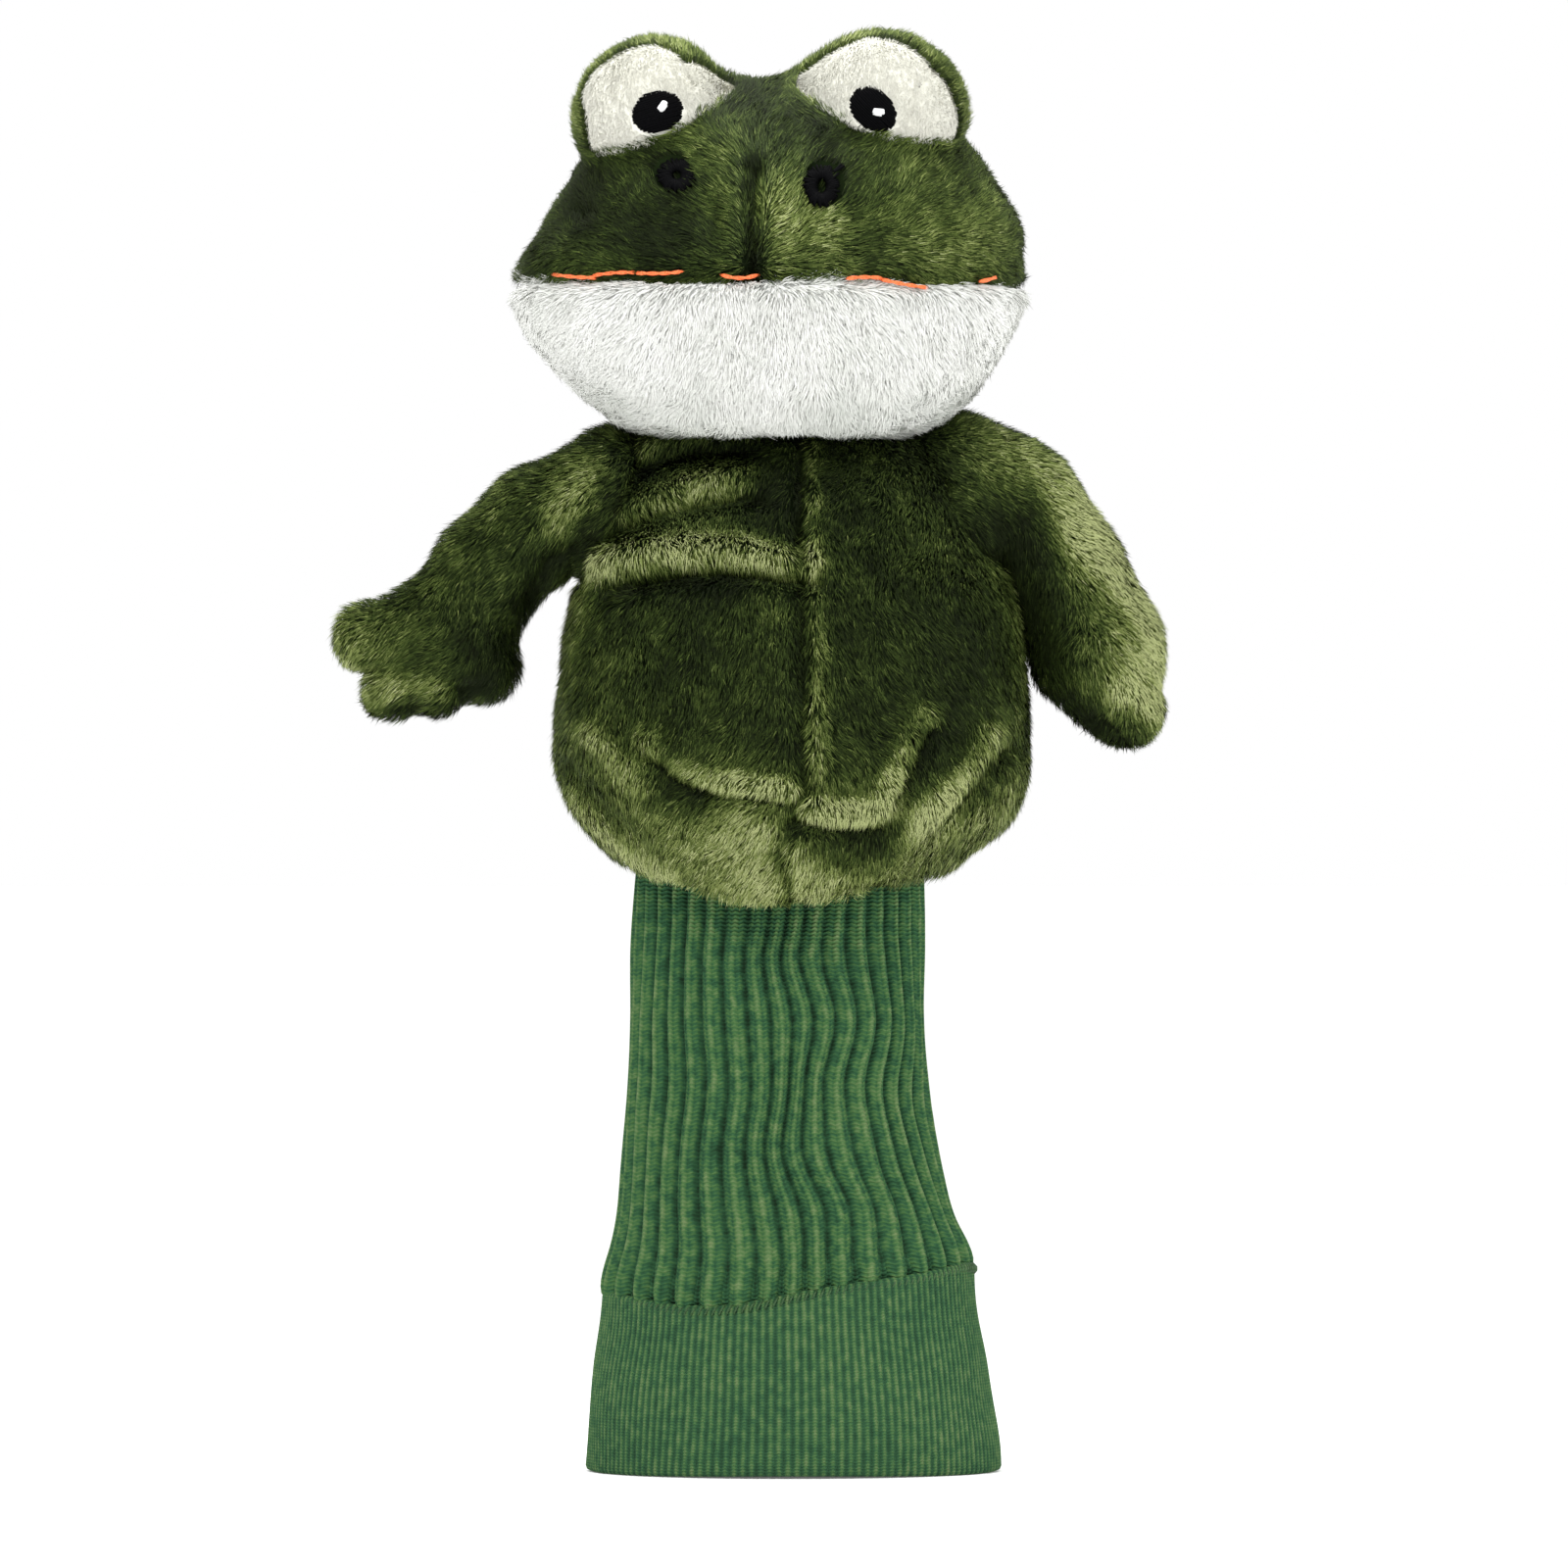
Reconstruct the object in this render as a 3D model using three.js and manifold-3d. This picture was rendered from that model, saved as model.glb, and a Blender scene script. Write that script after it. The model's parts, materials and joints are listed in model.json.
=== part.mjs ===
// A plush frog hand puppet on a long knitted sleeve.
// Millimetres, +Z up. The origin is the middle of the cuff's lower rim, and the frog faces -Y.
// "left" is the -X side and "right" the +X side, as seen by someone facing the frog.
import * as THREE from "three";
import { mergeVertices } from "three/addons/utils/BufferGeometryUtils.js";
import Module from "manifold-3d";

const wasm = await Module();
wasm.setup();

// ---- driving dimensions -------------------------------------------------------------------------
const GAP = 0.35; // air between neighbouring pieces
const PLUSH = 2.6; // thickness of the plush cloth with its pile pressed flat
const LINING = 1.2; // thickness of the lining cloth
const CUFF_WALL = 3.2; // the cuff is knitted double
const SLEEVE_WALL = 2; // one layer of rib knit
const CUFF_TOP = 43; // height of the seam between cuff and sleeve
const SEAM_HEIGHT = 1.2;
const SLEEVE_TOP = 139;
const MOUTH_HEIGHT = 277.8;
const HEAD_SEAM_X = -8.5;
const HEAD_BACK_Y = 4; // the seam between the front and the back of the head
const BELLY_SEAM_X = 2.8;
const BELLY_BACK_Y = 0; // the side seams of the body
const AROUND = 20; // facets round a large form
const FINE = 14; // facets round a small form
const HEAD_ROWS = 11; // levels of facets up the head
const HAND_FRONT = -14.6; // how far forward the finger stitches lie
const THREAD = 0.55; // radius of a sewing thread

// Centres that the soft joints turn about.
const WAIST = new THREE.Vector3(-3.5, 0, 141);
const NECK = new THREE.Vector3(-4, 3, 242);
const SHOULDERS = {
  left: new THREE.Vector3(-43, -2, 224.5),
  right: new THREE.Vector3(40.5, -2, 224.5),
};
const WAIST_BAND = { inner: 36.2, outer: 37.4, half: 3.5 };
const COLLAR = { inner: 19, outer: 20.4, half: 4.5 };
const SHOULDER_BALL = 16.2;
const SHOULDER_SEAM = { inner: 16.8, outer: 17.6, low: 6, high: 10 };

// Level sections of each soft form: height, then where it reaches to the left, right, front and back.
const CUFF_FORM = [
  [0, -48.4, 48.6, -42.5, 42.5],
  [9, -48, 48.2, -42, 42],
  [26, -45.6, 45, -39.6, 39.6],
  [CUFF_TOP, -43, 42.4, -37, 37],
];
const SLEEVE_FORM = [
  [CUFF_TOP + SEAM_HEIGHT + 2 * GAP, -42, 40.6, -35.4, 35.4],
  [56, -41, 37.6, -33.4, 33.4],
  [72, -40, 34.6, -31.4, 31.4],
  [92, -38.8, 31.6, -29.6, 29.6],
  [116, -37.8, 30.4, -28.6, 28.6],
  [SLEEVE_TOP, -36, 29.8, -28, 28],
];
const TORSO_FORM = [
  [147, -43.6, 42, -42.5, 40.5],
  [153, -48.6, 50, -45, 42],
  [163, -52.6, 53.4, -46.5, 42.5],
  [176, -53.4, 53.6, -46, 42],
  [198, -51.6, 52, -43, 40],
  [213, -48.4, 48.4, -38, 37],
  [226, -42.6, 42, -31, 33],
  [233, -36, 35, -26.5, 29],
  [236.5, -30, 28, -23, 26.5],
];
const HAND_FORM = [
  [150, -34, 32, -25, 25],
  [180, -33, 32, -24, 24],
  [205, -27, 26, -19, 20],
  [231, -20, 13, -13.5, 17.5],
];
const HEAD_FORM = [
  [244.6, -19, 14, -31, 12],
  [247, -33, 27, -40, 22],
  [252, -44, 37.5, -46, 30],
  [259, -53, 44, -49.5, 34],
  [269, -61, 50, -51.5, 36],
  [279, -62.6, 51.5, -51, 37],
  [290, -57.5, 50.5, -48, 36.5],
  [301, -51, 45, -42.5, 34.5],
  [311, -44.5, 38, -35, 31],
  [318, -34, 25, -25, 25],
  [322.6, -17, 7, -13, 15],
];
const EYE_MOUNDS = {
  left: { centre: new THREE.Vector3(-32, -15, 316.5), radii: new THREE.Vector3(16.8, 17, 16.6) },
  right: { centre: new THREE.Vector3(20.5, -15, 318.5), radii: new THREE.Vector3(17.8, 17, 16.8) },
};

// The outlines of the felt eye patches, seen from the front: x and z of the points of a closed smooth curve.
const EYE_PATCHES = {
  left: [
    [-14, 322.6],
    [-22, 316.2],
    [-33, 310.6],
    [-45.6, 308.4],
    [-48, 319],
    [-41, 329.4],
    [-32, 332.4],
    [-24.6, 329],
  ],
  right: [
    [0, 323.6],
    [8, 318],
    [17, 312.4],
    [25, 310],
    [36.6, 311],
    [37.4, 317],
    [31.6, 330],
    [18, 333.6],
    [9, 330.6],
  ],
};
const PUPILS = {
  left: { x: -31.3, z: 317.3, long: 6.2, short: 4.6, tilt: 0.3 },
  right: { x: 18.9, z: 317.9, long: 6, short: 4.4, tilt: -0.78 },
};
const GLINTS = {
  left: { x: -29.9, z: 318.6, long: 1.4, short: 0.9, tilt: 1.1 },
  right: { x: 20.2, z: 317.1, long: 1.5, short: 1, tilt: 1.3 },
};
const NOSTRILS = {
  left: { x: -26.8, z: 302.2 },
  right: { x: 6.9, z: 299.5 },
};
// Where each mouth stitch starts and ends: left and right x, then the height at each end.
const MOUTH_STITCHES = [
  [-56, -46, 279.2, 277.6],
  [-36.5, -25, 279, 279],
  [-15.5, -7.5, 278, 278],
  [12.5, 18.5, 277.2, 277.6],
  [23, 31.5, 277, 275.6],
  [44, 47.4, 277.4, 278.6],
];

// Centre line of each arm from the shoulder, with its half width seen from the front and its half depth.
const ARM_LINES = {
  left: [
    [-44, -2, 224.5, 12.6, 12.4],
    [-60, -3, 220, 11.4, 11.4],
    [-70, -4, 210.5, 11.6, 10.8],
    [-79, -5, 198, 14.4, 10],
    [-86, -6, 188.5, 14, 8.4],
    [-89, -6, 184, 8, 6],
  ],
  right: [
    [42, -2, 224.5, 12.6, 12.4],
    [59, -2, 220.5, 11.2, 11.6],
    [68.5, -3, 208, 11.8, 11.2],
    [72.6, -4, 193, 13.2, 10.4],
    [74.6, -5, 180, 10.4, 8.6],
    [76.4, -5, 173, 4.6, 4.4],
  ],
};
// Each finger is a rounded bar from the palm to its tip, with its radius.
const FINGERS = {
  left: [
    { from: [-84, -6, 199], to: [-100, -6, 196], radius: 6.6 },
    { from: [-86, -6, 190], to: [-93.5, -6, 183.5], radius: 6.4 },
    { from: [-77, -6, 192], to: [-70, -6, 187], radius: 6.4 },
  ],
  right: [
    { from: [76, -5, 190], to: [81, -5, 179], radius: 5.6 },
    { from: [73, -6, 184], to: [76, -6, 175], radius: 5.6 },
  ],
};
// Small sewn dimples between the fingers: a thread lying on the front of the hand.
const FINGER_STITCHES = {
  left: [
    { from: [-94, 191], to: [-88, 193] },
    { from: [-78, 182.5], to: [-77, 188] },
  ],
  right: [
    { from: [79, 184], to: [76.5, 189] },
  ],
};

// ---- materials ----------------------------------------------------------------------------------
const LOOKS = {
  plush_green: { color: 0x4b6a2c, roughness: 0.95 },
  plush_white: { color: 0xe8e9e4, roughness: 0.95 },
  knit_green: { color: 0x3f7440, roughness: 0.9 },
  felt_cream: { color: 0xecead8, roughness: 0.9 },
  thread_black: { color: 0x101012, roughness: 0.5 },
  thread_white: { color: 0xeeeef4, roughness: 0.5 },
  thread_orange: { color: 0xf0703a, roughness: 0.6 },
  thread_green: { color: 0x2c4220, roughness: 0.7 },
  stuffing: { color: 0xf2f0ea, roughness: 1 },
  lining: { color: 0x3a5a2a, roughness: 0.95 },
};

// ---- solids -------------------------------------------------------------------------------------
function solidOf(geometry) {
  const bare = geometry.clone();
  bare.deleteAttribute("normal");
  bare.deleteAttribute("uv");
  const merged = mergeVertices(bare, 1e-4);
  return new wasm.Manifold(new wasm.Mesh({
    numProp: 3,
    vertProperties: merged.attributes.position.array,
    triVerts: new Uint32Array(merged.index.array),
  }));
}

function geometryOf(solid) {
  const mesh = solid.getMesh();
  const geometry = new THREE.BufferGeometry();
  geometry.setAttribute("position", new THREE.BufferAttribute(mesh.vertProperties, 3));
  geometry.setIndex(new THREE.BufferAttribute(mesh.triVerts, 1));
  return geometry;
}

function ball(centre, radius) {
  const sphere = new THREE.SphereGeometry(radius, FINE, FINE / 2);
  return solidOf(sphere.rotateX(Math.PI / 2).translate(centre.x, centre.y, centre.z));
}

// The room left for a ball: its facets lie outside the true sphere, where a ball's lie inside.
function socket(centre, radius) {
  return ball(centre, radius / Math.cos(Math.PI / FINE) ** 2);
}

function ellipsoid({ centre, radii }, grow) {
  const sphere = new THREE.SphereGeometry(1, FINE, 10);
  sphere.scale(radii.x + grow, radii.y + grow, radii.z + grow);
  return solidOf(sphere.translate(centre.x, centre.y, centre.z));
}

// A box between two corners, used to cut the forms along their seams.
function block([x0, y0, z0], [x1, y1, z1]) {
  const box = new THREE.BoxGeometry(x1 - x0, y1 - y0, z1 - z0);
  return solidOf(box.translate((x0 + x1) / 2, (y0 + y1) / 2, (z0 + z1) / 2));
}

// Moves every side of a form outwards by `side`, and each end by `ends`. Negative is inwards.
function resized(form, side, ends) {
  const low = form[0][0];
  const high = form.at(-1)[0];
  const middle = (low + high) / 2;
  const stretch = 1 + (2 * ends) / (high - low);
  return form.map(([z, left, right, front, back]) => [
    middle + (z - middle) * stretch,
    left - side,
    right + side,
    front - side,
    back + side,
  ]);
}

// The level oval at a share of the way up a form: its height, centre and half sizes.
function ovalAt(form, share) {
  const column = (index) => {
    const points = form.map((row) => new THREE.Vector2(row[index], row[0]));
    return new THREE.SplineCurve(points).getPoint(share);
  };
  const [left, right, front, back] = [1, 2, 3, 4].map(column);
  return {
    z: left.y,
    x: (left.x + right.x) / 2,
    y: (front.x + back.x) / 2,
    halfX: (right.x - left.x) / 2,
    halfY: (back.x - front.x) / 2,
  };
}

// Bends a unit cylinder into the solid whose level sections are the form's ovals.
function ovalSolid(form, rows, facets = AROUND) {
  const geometry = new THREE.CylinderGeometry(1, 1, 1, facets, rows);
  const ovals = Array.from({ length: rows + 1 }, (_, row) => ovalAt(form, row / rows));
  const place = geometry.attributes.position;
  for (let i = 0; i < place.count; i += 1) {
    const oval = ovals[Math.round((place.getY(i) + 0.5) * rows)];
    const x = oval.x + oval.halfX * place.getX(i);
    const y = oval.y - oval.halfY * place.getZ(i);
    place.setXYZ(i, x, y, oval.z);
  }
  return solidOf(geometry);
}

// How far forward a form reaches at a place seen from the front.
function frontOf(form, x, z) {
  let low = 0;
  let high = 1;
  for (let step = 0; step < 30; step += 1) {
    const share = (low + high) / 2;
    if (ovalAt(form, share).z < z) {
      low = share;
    } else {
      high = share;
    }
  }
  const oval = ovalAt(form, low);
  return oval.y - oval.halfY * Math.sqrt(1 - ((x - oval.x) / oval.halfX) ** 2);
}

// A round thread along a smooth line of points.
function thread(points) {
  const section = new THREE.Shape().absarc(0, 0, THREAD, 0, 2 * Math.PI);
  const path = new THREE.CatmullRomCurve3(points.map((point) => new THREE.Vector3(...point)));
  return new THREE.ExtrudeGeometry(section, { steps: points.length - 1, extrudePath: path, curveSegments: 3 });
}

// A thread lying on the front of a form, from one place seen from the front to another.
function surfaceThread(form, from, to, pieces) {
  const points = Array.from({ length: pieces + 1 }, (_, i) => {
    const x = THREE.MathUtils.lerp(from[0], to[0], i / pieces);
    const z = THREE.MathUtils.lerp(from[1], to[1], i / pieces);
    return [x, frontOf(form, x, z) - THREAD - 2 * GAP, z];
  });
  return thread(points);
}

// The turn that takes a geometry's own Y axis to a direction.
function turnFromY(direction) {
  return new THREE.Quaternion().setFromUnitVectors(new THREE.Vector3(0, 1, 0), direction);
}

// A rounded bar from one point to another.
function bar(from, to, radius) {
  const start = new THREE.Vector3(...from);
  const end = new THREE.Vector3(...to);
  const along = end.clone().sub(start);
  const geometry = new THREE.CapsuleGeometry(radius, along.length(), 2, 8);
  geometry.applyQuaternion(turnFromY(along.clone().normalize()));
  const middle = start.add(end).multiplyScalar(0.5);
  return solidOf(geometry.translate(middle.x, middle.y, middle.z));
}

// A band of a spherical shell about an axis: a cloth ring that can turn any way inside its socket.
function sphereBand(centre, axis, { inner, outer }, low, high) {
  const rim = (radius, height) => new THREE.Vector2(Math.sqrt(radius ** 2 - height ** 2), height);
  const profile = [rim(outer, low), rim(outer, high), rim(inner, high), rim(inner, low), rim(outer, low)];
  const geometry = new THREE.LatheGeometry(profile, AROUND);
  return geometry.applyQuaternion(turnFromY(axis)).translate(centre.x, centre.y, centre.z);
}

// An open tube: a form with the same form, thinner by the wall, taken out of it from end to end.
function tube(form, wall, rows, facets) {
  const hole = resized(form, -wall, 1);
  return ovalSolid(form, rows, facets).subtract(ovalSolid(hole, rows, facets));
}

// ---- the model ----------------------------------------------------------------------------------
const group = new THREE.Group();
const FAR = 400; // beyond every part of the puppet
const UP = new THREE.Vector3(0, 0, 1);

function add(name, look, shape) {
  const geometry = shape.isBufferGeometry ? shape : geometryOf(shape);
  const mesh = new THREE.Mesh(geometry, new THREE.MeshStandardMaterial(LOOKS[look]));
  mesh.name = name;
  group.add(mesh);
}

// ---- sleeve and cuff ----------------------------------------------------------------------------
function addSleeve() {
  const facets = 24;
  add("cuff", "knit_green", tube(CUFF_FORM, CUFF_WALL, 3, facets));
  const seam = [0, 1].map((end) => [CUFF_TOP + GAP + end * SEAM_HEIGHT, -42.8, 41.8, -36.6, 36.6]);
  add("cuff_seam", "thread_green", tube(seam, CUFF_WALL - 1, 1, facets));
  add("rib_sleeve", "knit_green", tube(SLEEVE_FORM, SLEEVE_WALL, 5, facets));
  add("waist_band", "knit_green", sphereBand(WAIST, UP, WAIST_BAND, -WAIST_BAND.half, WAIST_BAND.half));
}

// ---- body ---------------------------------------------------------------------------------------
function addTorso() {
  const sockets = socket(WAIST, WAIST_BAND.outer + GAP)
    .add(socket(NECK, COLLAR.outer + GAP))
    .add(socket(SHOULDERS.left, SHOULDER_SEAM.outer + GAP))
    .add(socket(SHOULDERS.right, SHOULDER_SEAM.outer + GAP));
  const rows = 8;
  const outside = ovalSolid(TORSO_FORM, rows);
  const hollow = ovalSolid(resized(TORSO_FORM, -PLUSH, 1), rows);
  const skin = outside.subtract(hollow).subtract(sockets);
  const front = block([-FAR, -FAR, 0], [FAR, BELLY_BACK_Y - GAP / 2, FAR]);
  const back = block([-FAR, BELLY_BACK_Y + GAP / 2, 0], [FAR, FAR, FAR]);
  const leftHalf = block([-FAR, -FAR, 0], [BELLY_SEAM_X - GAP / 2, FAR, FAR]);
  const rightHalf = block([BELLY_SEAM_X + GAP / 2, -FAR, 0], [FAR, FAR, FAR]);
  add("body_front_left", "plush_green", skin.intersect(front).intersect(leftHalf));
  add("body_front_right", "plush_green", skin.intersect(front).intersect(rightHalf));
  add("body_back_left", "plush_green", skin.intersect(back).intersect(leftHalf));
  add("body_back_right", "plush_green", skin.intersect(back).intersect(rightHalf));
  add("body_seam", "thread_green", surfaceThread(TORSO_FORM, [BELLY_SEAM_X, 160], [BELLY_SEAM_X, 234], 8));

  const hand = ovalSolid(resized(HAND_FORM, 0, 3), 4, FINE);
  const lined = ovalSolid(resized(HAND_FORM, LINING + GAP, 3), 4, FINE);
  const padding = ovalSolid(resized(TORSO_FORM, -PLUSH - GAP, -3), rows);
  add("body_padding", "stuffing", padding.subtract(lined).subtract(sockets));
  const lining = ovalSolid(resized(HAND_FORM, LINING, 0), 4, FINE).subtract(hand).subtract(sockets);
  add("hand_lining", "lining", lining);
}

// ---- arms ---------------------------------------------------------------------------------------
// A limb along a centre line in the plane seen from the front, thinner all over by `less`.
function limb(line, less) {
  const rows = 7;
  const facets = 12;
  const path = new THREE.CatmullRomCurve3(line.map(([x, y, z]) => new THREE.Vector3(x, y, z)));
  const sizes = new THREE.CatmullRomCurve3(line.map((row) => new THREE.Vector3(row[3], row[4], 0)));
  const geometry = new THREE.CylinderGeometry(1, 1, 1, facets, rows);
  const place = geometry.attributes.position;
  for (let i = 0; i < place.count; i += 1) {
    const share = place.getY(i) + 0.5;
    const middle = path.getPoint(share);
    const size = sizes.getPoint(share);
    const along = path.getTangent(share);
    const across = new THREE.Vector3(-along.z, 0, along.x).normalize();
    middle.addScaledVector(across, place.getX(i) * (size.x - less));
    middle.y += place.getZ(i) * (size.y - less);
    place.setXYZ(i, middle.x, middle.y, middle.z);
  }
  return solidOf(geometry);
}

function armSolid(side, less) {
  let arm = limb(ARM_LINES[side], less).add(ball(SHOULDERS[side], SHOULDER_BALL - less));
  for (const finger of FINGERS[side]) {
    arm = arm.add(bar(finger.from, finger.to, finger.radius - less));
  }
  return arm;
}

function addArm(side) {
  const outward = side === "left" ? -1 : 1;
  const seamPlane = SHOULDERS[side].y - 2;
  const skin = armSolid(side, 0).subtract(armSolid(side, PLUSH));
  const front = block([-FAR, -FAR, 0], [FAR, seamPlane - GAP / 2, FAR]);
  const back = block([-FAR, seamPlane + GAP / 2, 0], [FAR, FAR, FAR]);
  add(`arm_${side}_front`, "plush_green", skin.intersect(front));
  add(`arm_${side}_back`, "plush_green", skin.intersect(back));
  add(`arm_${side}_stuffing`, "stuffing", armSolid(side, PLUSH + 3 * GAP));
  const axis = new THREE.Vector3(-outward, 0, 0.35).normalize();
  const { low, high } = SHOULDER_SEAM;
  add(`shoulder_seam_${side}`, "thread_green", sphereBand(SHOULDERS[side], axis, SHOULDER_SEAM, low, high));
  FINGER_STITCHES[side].forEach(({ from, to }, i) => {
    const line = [[from[0], HAND_FRONT, from[1]], [to[0], HAND_FRONT, to[1]]];
    add(`finger_stitch_${side}_${i + 1}`, "thread_green", thread(line));
  });
}

// ---- head ---------------------------------------------------------------------------------------
function addHead() {
  const rows = HEAD_ROWS;
  const neckSocket = socket(NECK, COLLAR.outer + GAP);
  const outside = ovalSolid(HEAD_FORM, rows);
  const hollow = ovalSolid(resized(HEAD_FORM, -PLUSH, -PLUSH), rows);
  const skin = outside.subtract(hollow).subtract(neckSocket);
  const front = block([-FAR, -FAR, 0], [FAR, HEAD_BACK_Y - GAP / 2, FAR]);
  const above = block([-FAR, -FAR, MOUTH_HEIGHT + GAP / 2], [FAR, FAR, FAR]);
  const below = block([-FAR, -FAR, 0], [FAR, FAR, MOUTH_HEIGHT - GAP / 2]);
  const leftHalf = block([-FAR, -FAR, 0], [HEAD_SEAM_X - GAP / 2, FAR, FAR]);
  const rightHalf = block([HEAD_SEAM_X + GAP / 2, -FAR, 0], [FAR, FAR, FAR]);
  const back = block([-FAR, HEAD_BACK_Y + GAP / 2, 0], [FAR, FAR, FAR]);
  const face = skin.intersect(front).intersect(above);
  add("head_front_left", "plush_green", face.intersect(leftHalf));
  add("head_front_right", "plush_green", face.intersect(rightHalf));
  add("chin", "plush_white", skin.intersect(front).intersect(below));
  add("head_back", "plush_green", skin.intersect(back));
  add("head_seam", "thread_green", surfaceThread(HEAD_FORM, [HEAD_SEAM_X, 280], [HEAD_SEAM_X, 302], 4));

  const stallReach = 288;
  const stall = [
    [NECK.z + 12, -17, 9, -9, 15],
    [NECK.z + 30, -16, 8, -8, 14],
    [stallReach, -9, 1, -3, 8],
  ];
  const finger = ovalSolid(resized(stall, -LINING, -LINING), 4, 12);
  const opening = ovalSolid([[NECK.z, -15, 7, -7, 13], [NECK.z + 20, -15.4, 7.4, -7.4, 13.4]], 1, 12);
  const stallOutside = ovalSolid(stall, 4, 12);
  const channel = ovalSolid(resized(stall, GAP, GAP), 4, 12).add(neckSocket);
  add("finger_stall", "lining", stallOutside.subtract(finger).subtract(opening).subtract(neckSocket));
  const stuffing = ovalSolid(resized(HEAD_FORM, -PLUSH - GAP, -PLUSH - GAP), rows);
  add("head_stuffing", "stuffing", stuffing.subtract(channel));
  add("neck_collar", "lining", sphereBand(NECK, UP, COLLAR, -COLLAR.half, COLLAR.half));
}

// A patch cut from a thin layer over an eye mound, in the outline seen from the front.
function eyeLayer(side, outline, low, high) {
  const mound = EYE_MOUNDS[side];
  const depth = 60;
  const prism = new THREE.ExtrudeGeometry(outline, { depth, bevelEnabled: false, curveSegments: 2 });
  // The outline is drawn in X and Z: the extrusion stands up along -Y from just ahead of the mound's middle.
  prism.rotateX(Math.PI / 2).translate(0, mound.centre.y - 1, 0);
  const layer = ellipsoid(mound, high).subtract(ellipsoid(mound, low));
  const head = ovalSolid(resized(HEAD_FORM, GAP, GAP), HEAD_ROWS);
  return layer.intersect(solidOf(prism)).subtract(head);
}

function ellipseOutline({ x, z, long, short, tilt }) {
  return new THREE.Shape().absellipse(x, z, long, short, 0, 2 * Math.PI, false, tilt);
}

function addEye(side) {
  const mound = EYE_MOUNDS[side];
  const head = ovalSolid(resized(HEAD_FORM, GAP, GAP), HEAD_ROWS);
  const stuffing = ellipsoid(mound, -PLUSH - GAP).subtract(head);
  add(`eye_mound_${side}`, "plush_green", ellipsoid(mound, 0).subtract(ellipsoid(mound, -PLUSH)).subtract(head));
  add(`eye_stuffing_${side}`, "stuffing", stuffing);

  const patch = new THREE.Shape();
  const [start, ...rest] = EYE_PATCHES[side].map(([x, z]) => new THREE.Vector2(x, z));
  patch.moveTo(start.x, start.y);
  patch.splineThru([...rest, start]);
  const felt = 1.2;
  const embroidery = 0.9;
  const feltTop = GAP + felt;
  const pupilTop = feltTop + GAP + embroidery;
  const glintTop = pupilTop + GAP + embroidery;
  add(`eye_white_${side}`, "felt_cream", eyeLayer(side, patch, GAP, feltTop));
  const pupil = ellipseOutline(PUPILS[side]);
  add(`pupil_${side}`, "thread_black", eyeLayer(side, pupil, feltTop + GAP, pupilTop));
  const glint = ellipseOutline(GLINTS[side]);
  add(`eye_glint_${side}`, "thread_white", eyeLayer(side, glint, pupilTop + GAP, glintTop));
}

function addFace() {
  const ringRadius = 3.4;
  const cord = 0.9;
  for (const [side, { x, z }] of Object.entries(NOSTRILS)) {
    const reach = 4;
    const slopeX = (frontOf(HEAD_FORM, x + reach, z) - frontOf(HEAD_FORM, x - reach, z)) / (2 * reach);
    const slopeZ = (frontOf(HEAD_FORM, x, z + reach) - frontOf(HEAD_FORM, x, z - reach)) / (2 * reach);
    const outward = new THREE.Vector3(slopeX, -1, slopeZ).normalize();
    const turn = new THREE.Quaternion().setFromUnitVectors(new THREE.Vector3(0, 0, 1), outward);
    const ring = new THREE.TorusGeometry(ringRadius, cord, 5, 12).applyQuaternion(turn);
    const stand = cord + 2 * GAP;
    const y = frontOf(HEAD_FORM, x, z) + outward.y * stand;
    add(`nostril_${side}`, "thread_black", ring.translate(x + outward.x * stand, y, z + outward.z * stand));
  }
  MOUTH_STITCHES.forEach(([x0, x1, z0, z1], i) => {
    add(`mouth_stitch_${i + 1}`, "thread_orange", surfaceThread(HEAD_FORM, [x0, z0], [x1, z1], 3));
  });
}

addSleeve();
addTorso();
addArm("left");
addArm("right");
addHead();
addEye("left");
addEye("right");
addFace();

export default group;
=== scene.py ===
import json
import math

import bpy
import numpy as np
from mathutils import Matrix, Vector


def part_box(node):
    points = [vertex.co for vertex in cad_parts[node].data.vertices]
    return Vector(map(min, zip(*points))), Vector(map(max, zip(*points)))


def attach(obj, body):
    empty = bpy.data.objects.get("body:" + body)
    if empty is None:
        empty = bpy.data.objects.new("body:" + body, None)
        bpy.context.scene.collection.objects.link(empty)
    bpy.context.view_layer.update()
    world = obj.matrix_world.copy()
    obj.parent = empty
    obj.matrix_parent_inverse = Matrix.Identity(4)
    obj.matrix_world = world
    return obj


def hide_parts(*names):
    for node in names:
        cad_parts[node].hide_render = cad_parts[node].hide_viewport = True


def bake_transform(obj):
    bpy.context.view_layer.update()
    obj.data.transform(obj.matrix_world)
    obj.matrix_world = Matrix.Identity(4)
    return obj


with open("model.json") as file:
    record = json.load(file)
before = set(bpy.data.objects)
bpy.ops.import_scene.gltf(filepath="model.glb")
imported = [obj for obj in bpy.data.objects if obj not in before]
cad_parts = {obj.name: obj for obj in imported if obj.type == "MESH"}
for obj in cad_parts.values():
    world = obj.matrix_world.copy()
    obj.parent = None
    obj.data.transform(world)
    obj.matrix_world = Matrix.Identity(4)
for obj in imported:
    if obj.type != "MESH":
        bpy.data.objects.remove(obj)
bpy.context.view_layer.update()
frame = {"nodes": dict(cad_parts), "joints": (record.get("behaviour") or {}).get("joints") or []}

import openvdb
from mathutils import Vector

MM = 0.001
JOINT_PLACE = {joint["name"]: np.array(joint["pos_m"]) / MM for joint in frame["joints"]}
WAIST = JOINT_PLACE["waist_lean"]
NECK = JOINT_PLACE["head_nod"]
SHOULDERS = {side: JOINT_PLACE[f"arm_{side}_raise"] for side in ("left", "right")}


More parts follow.
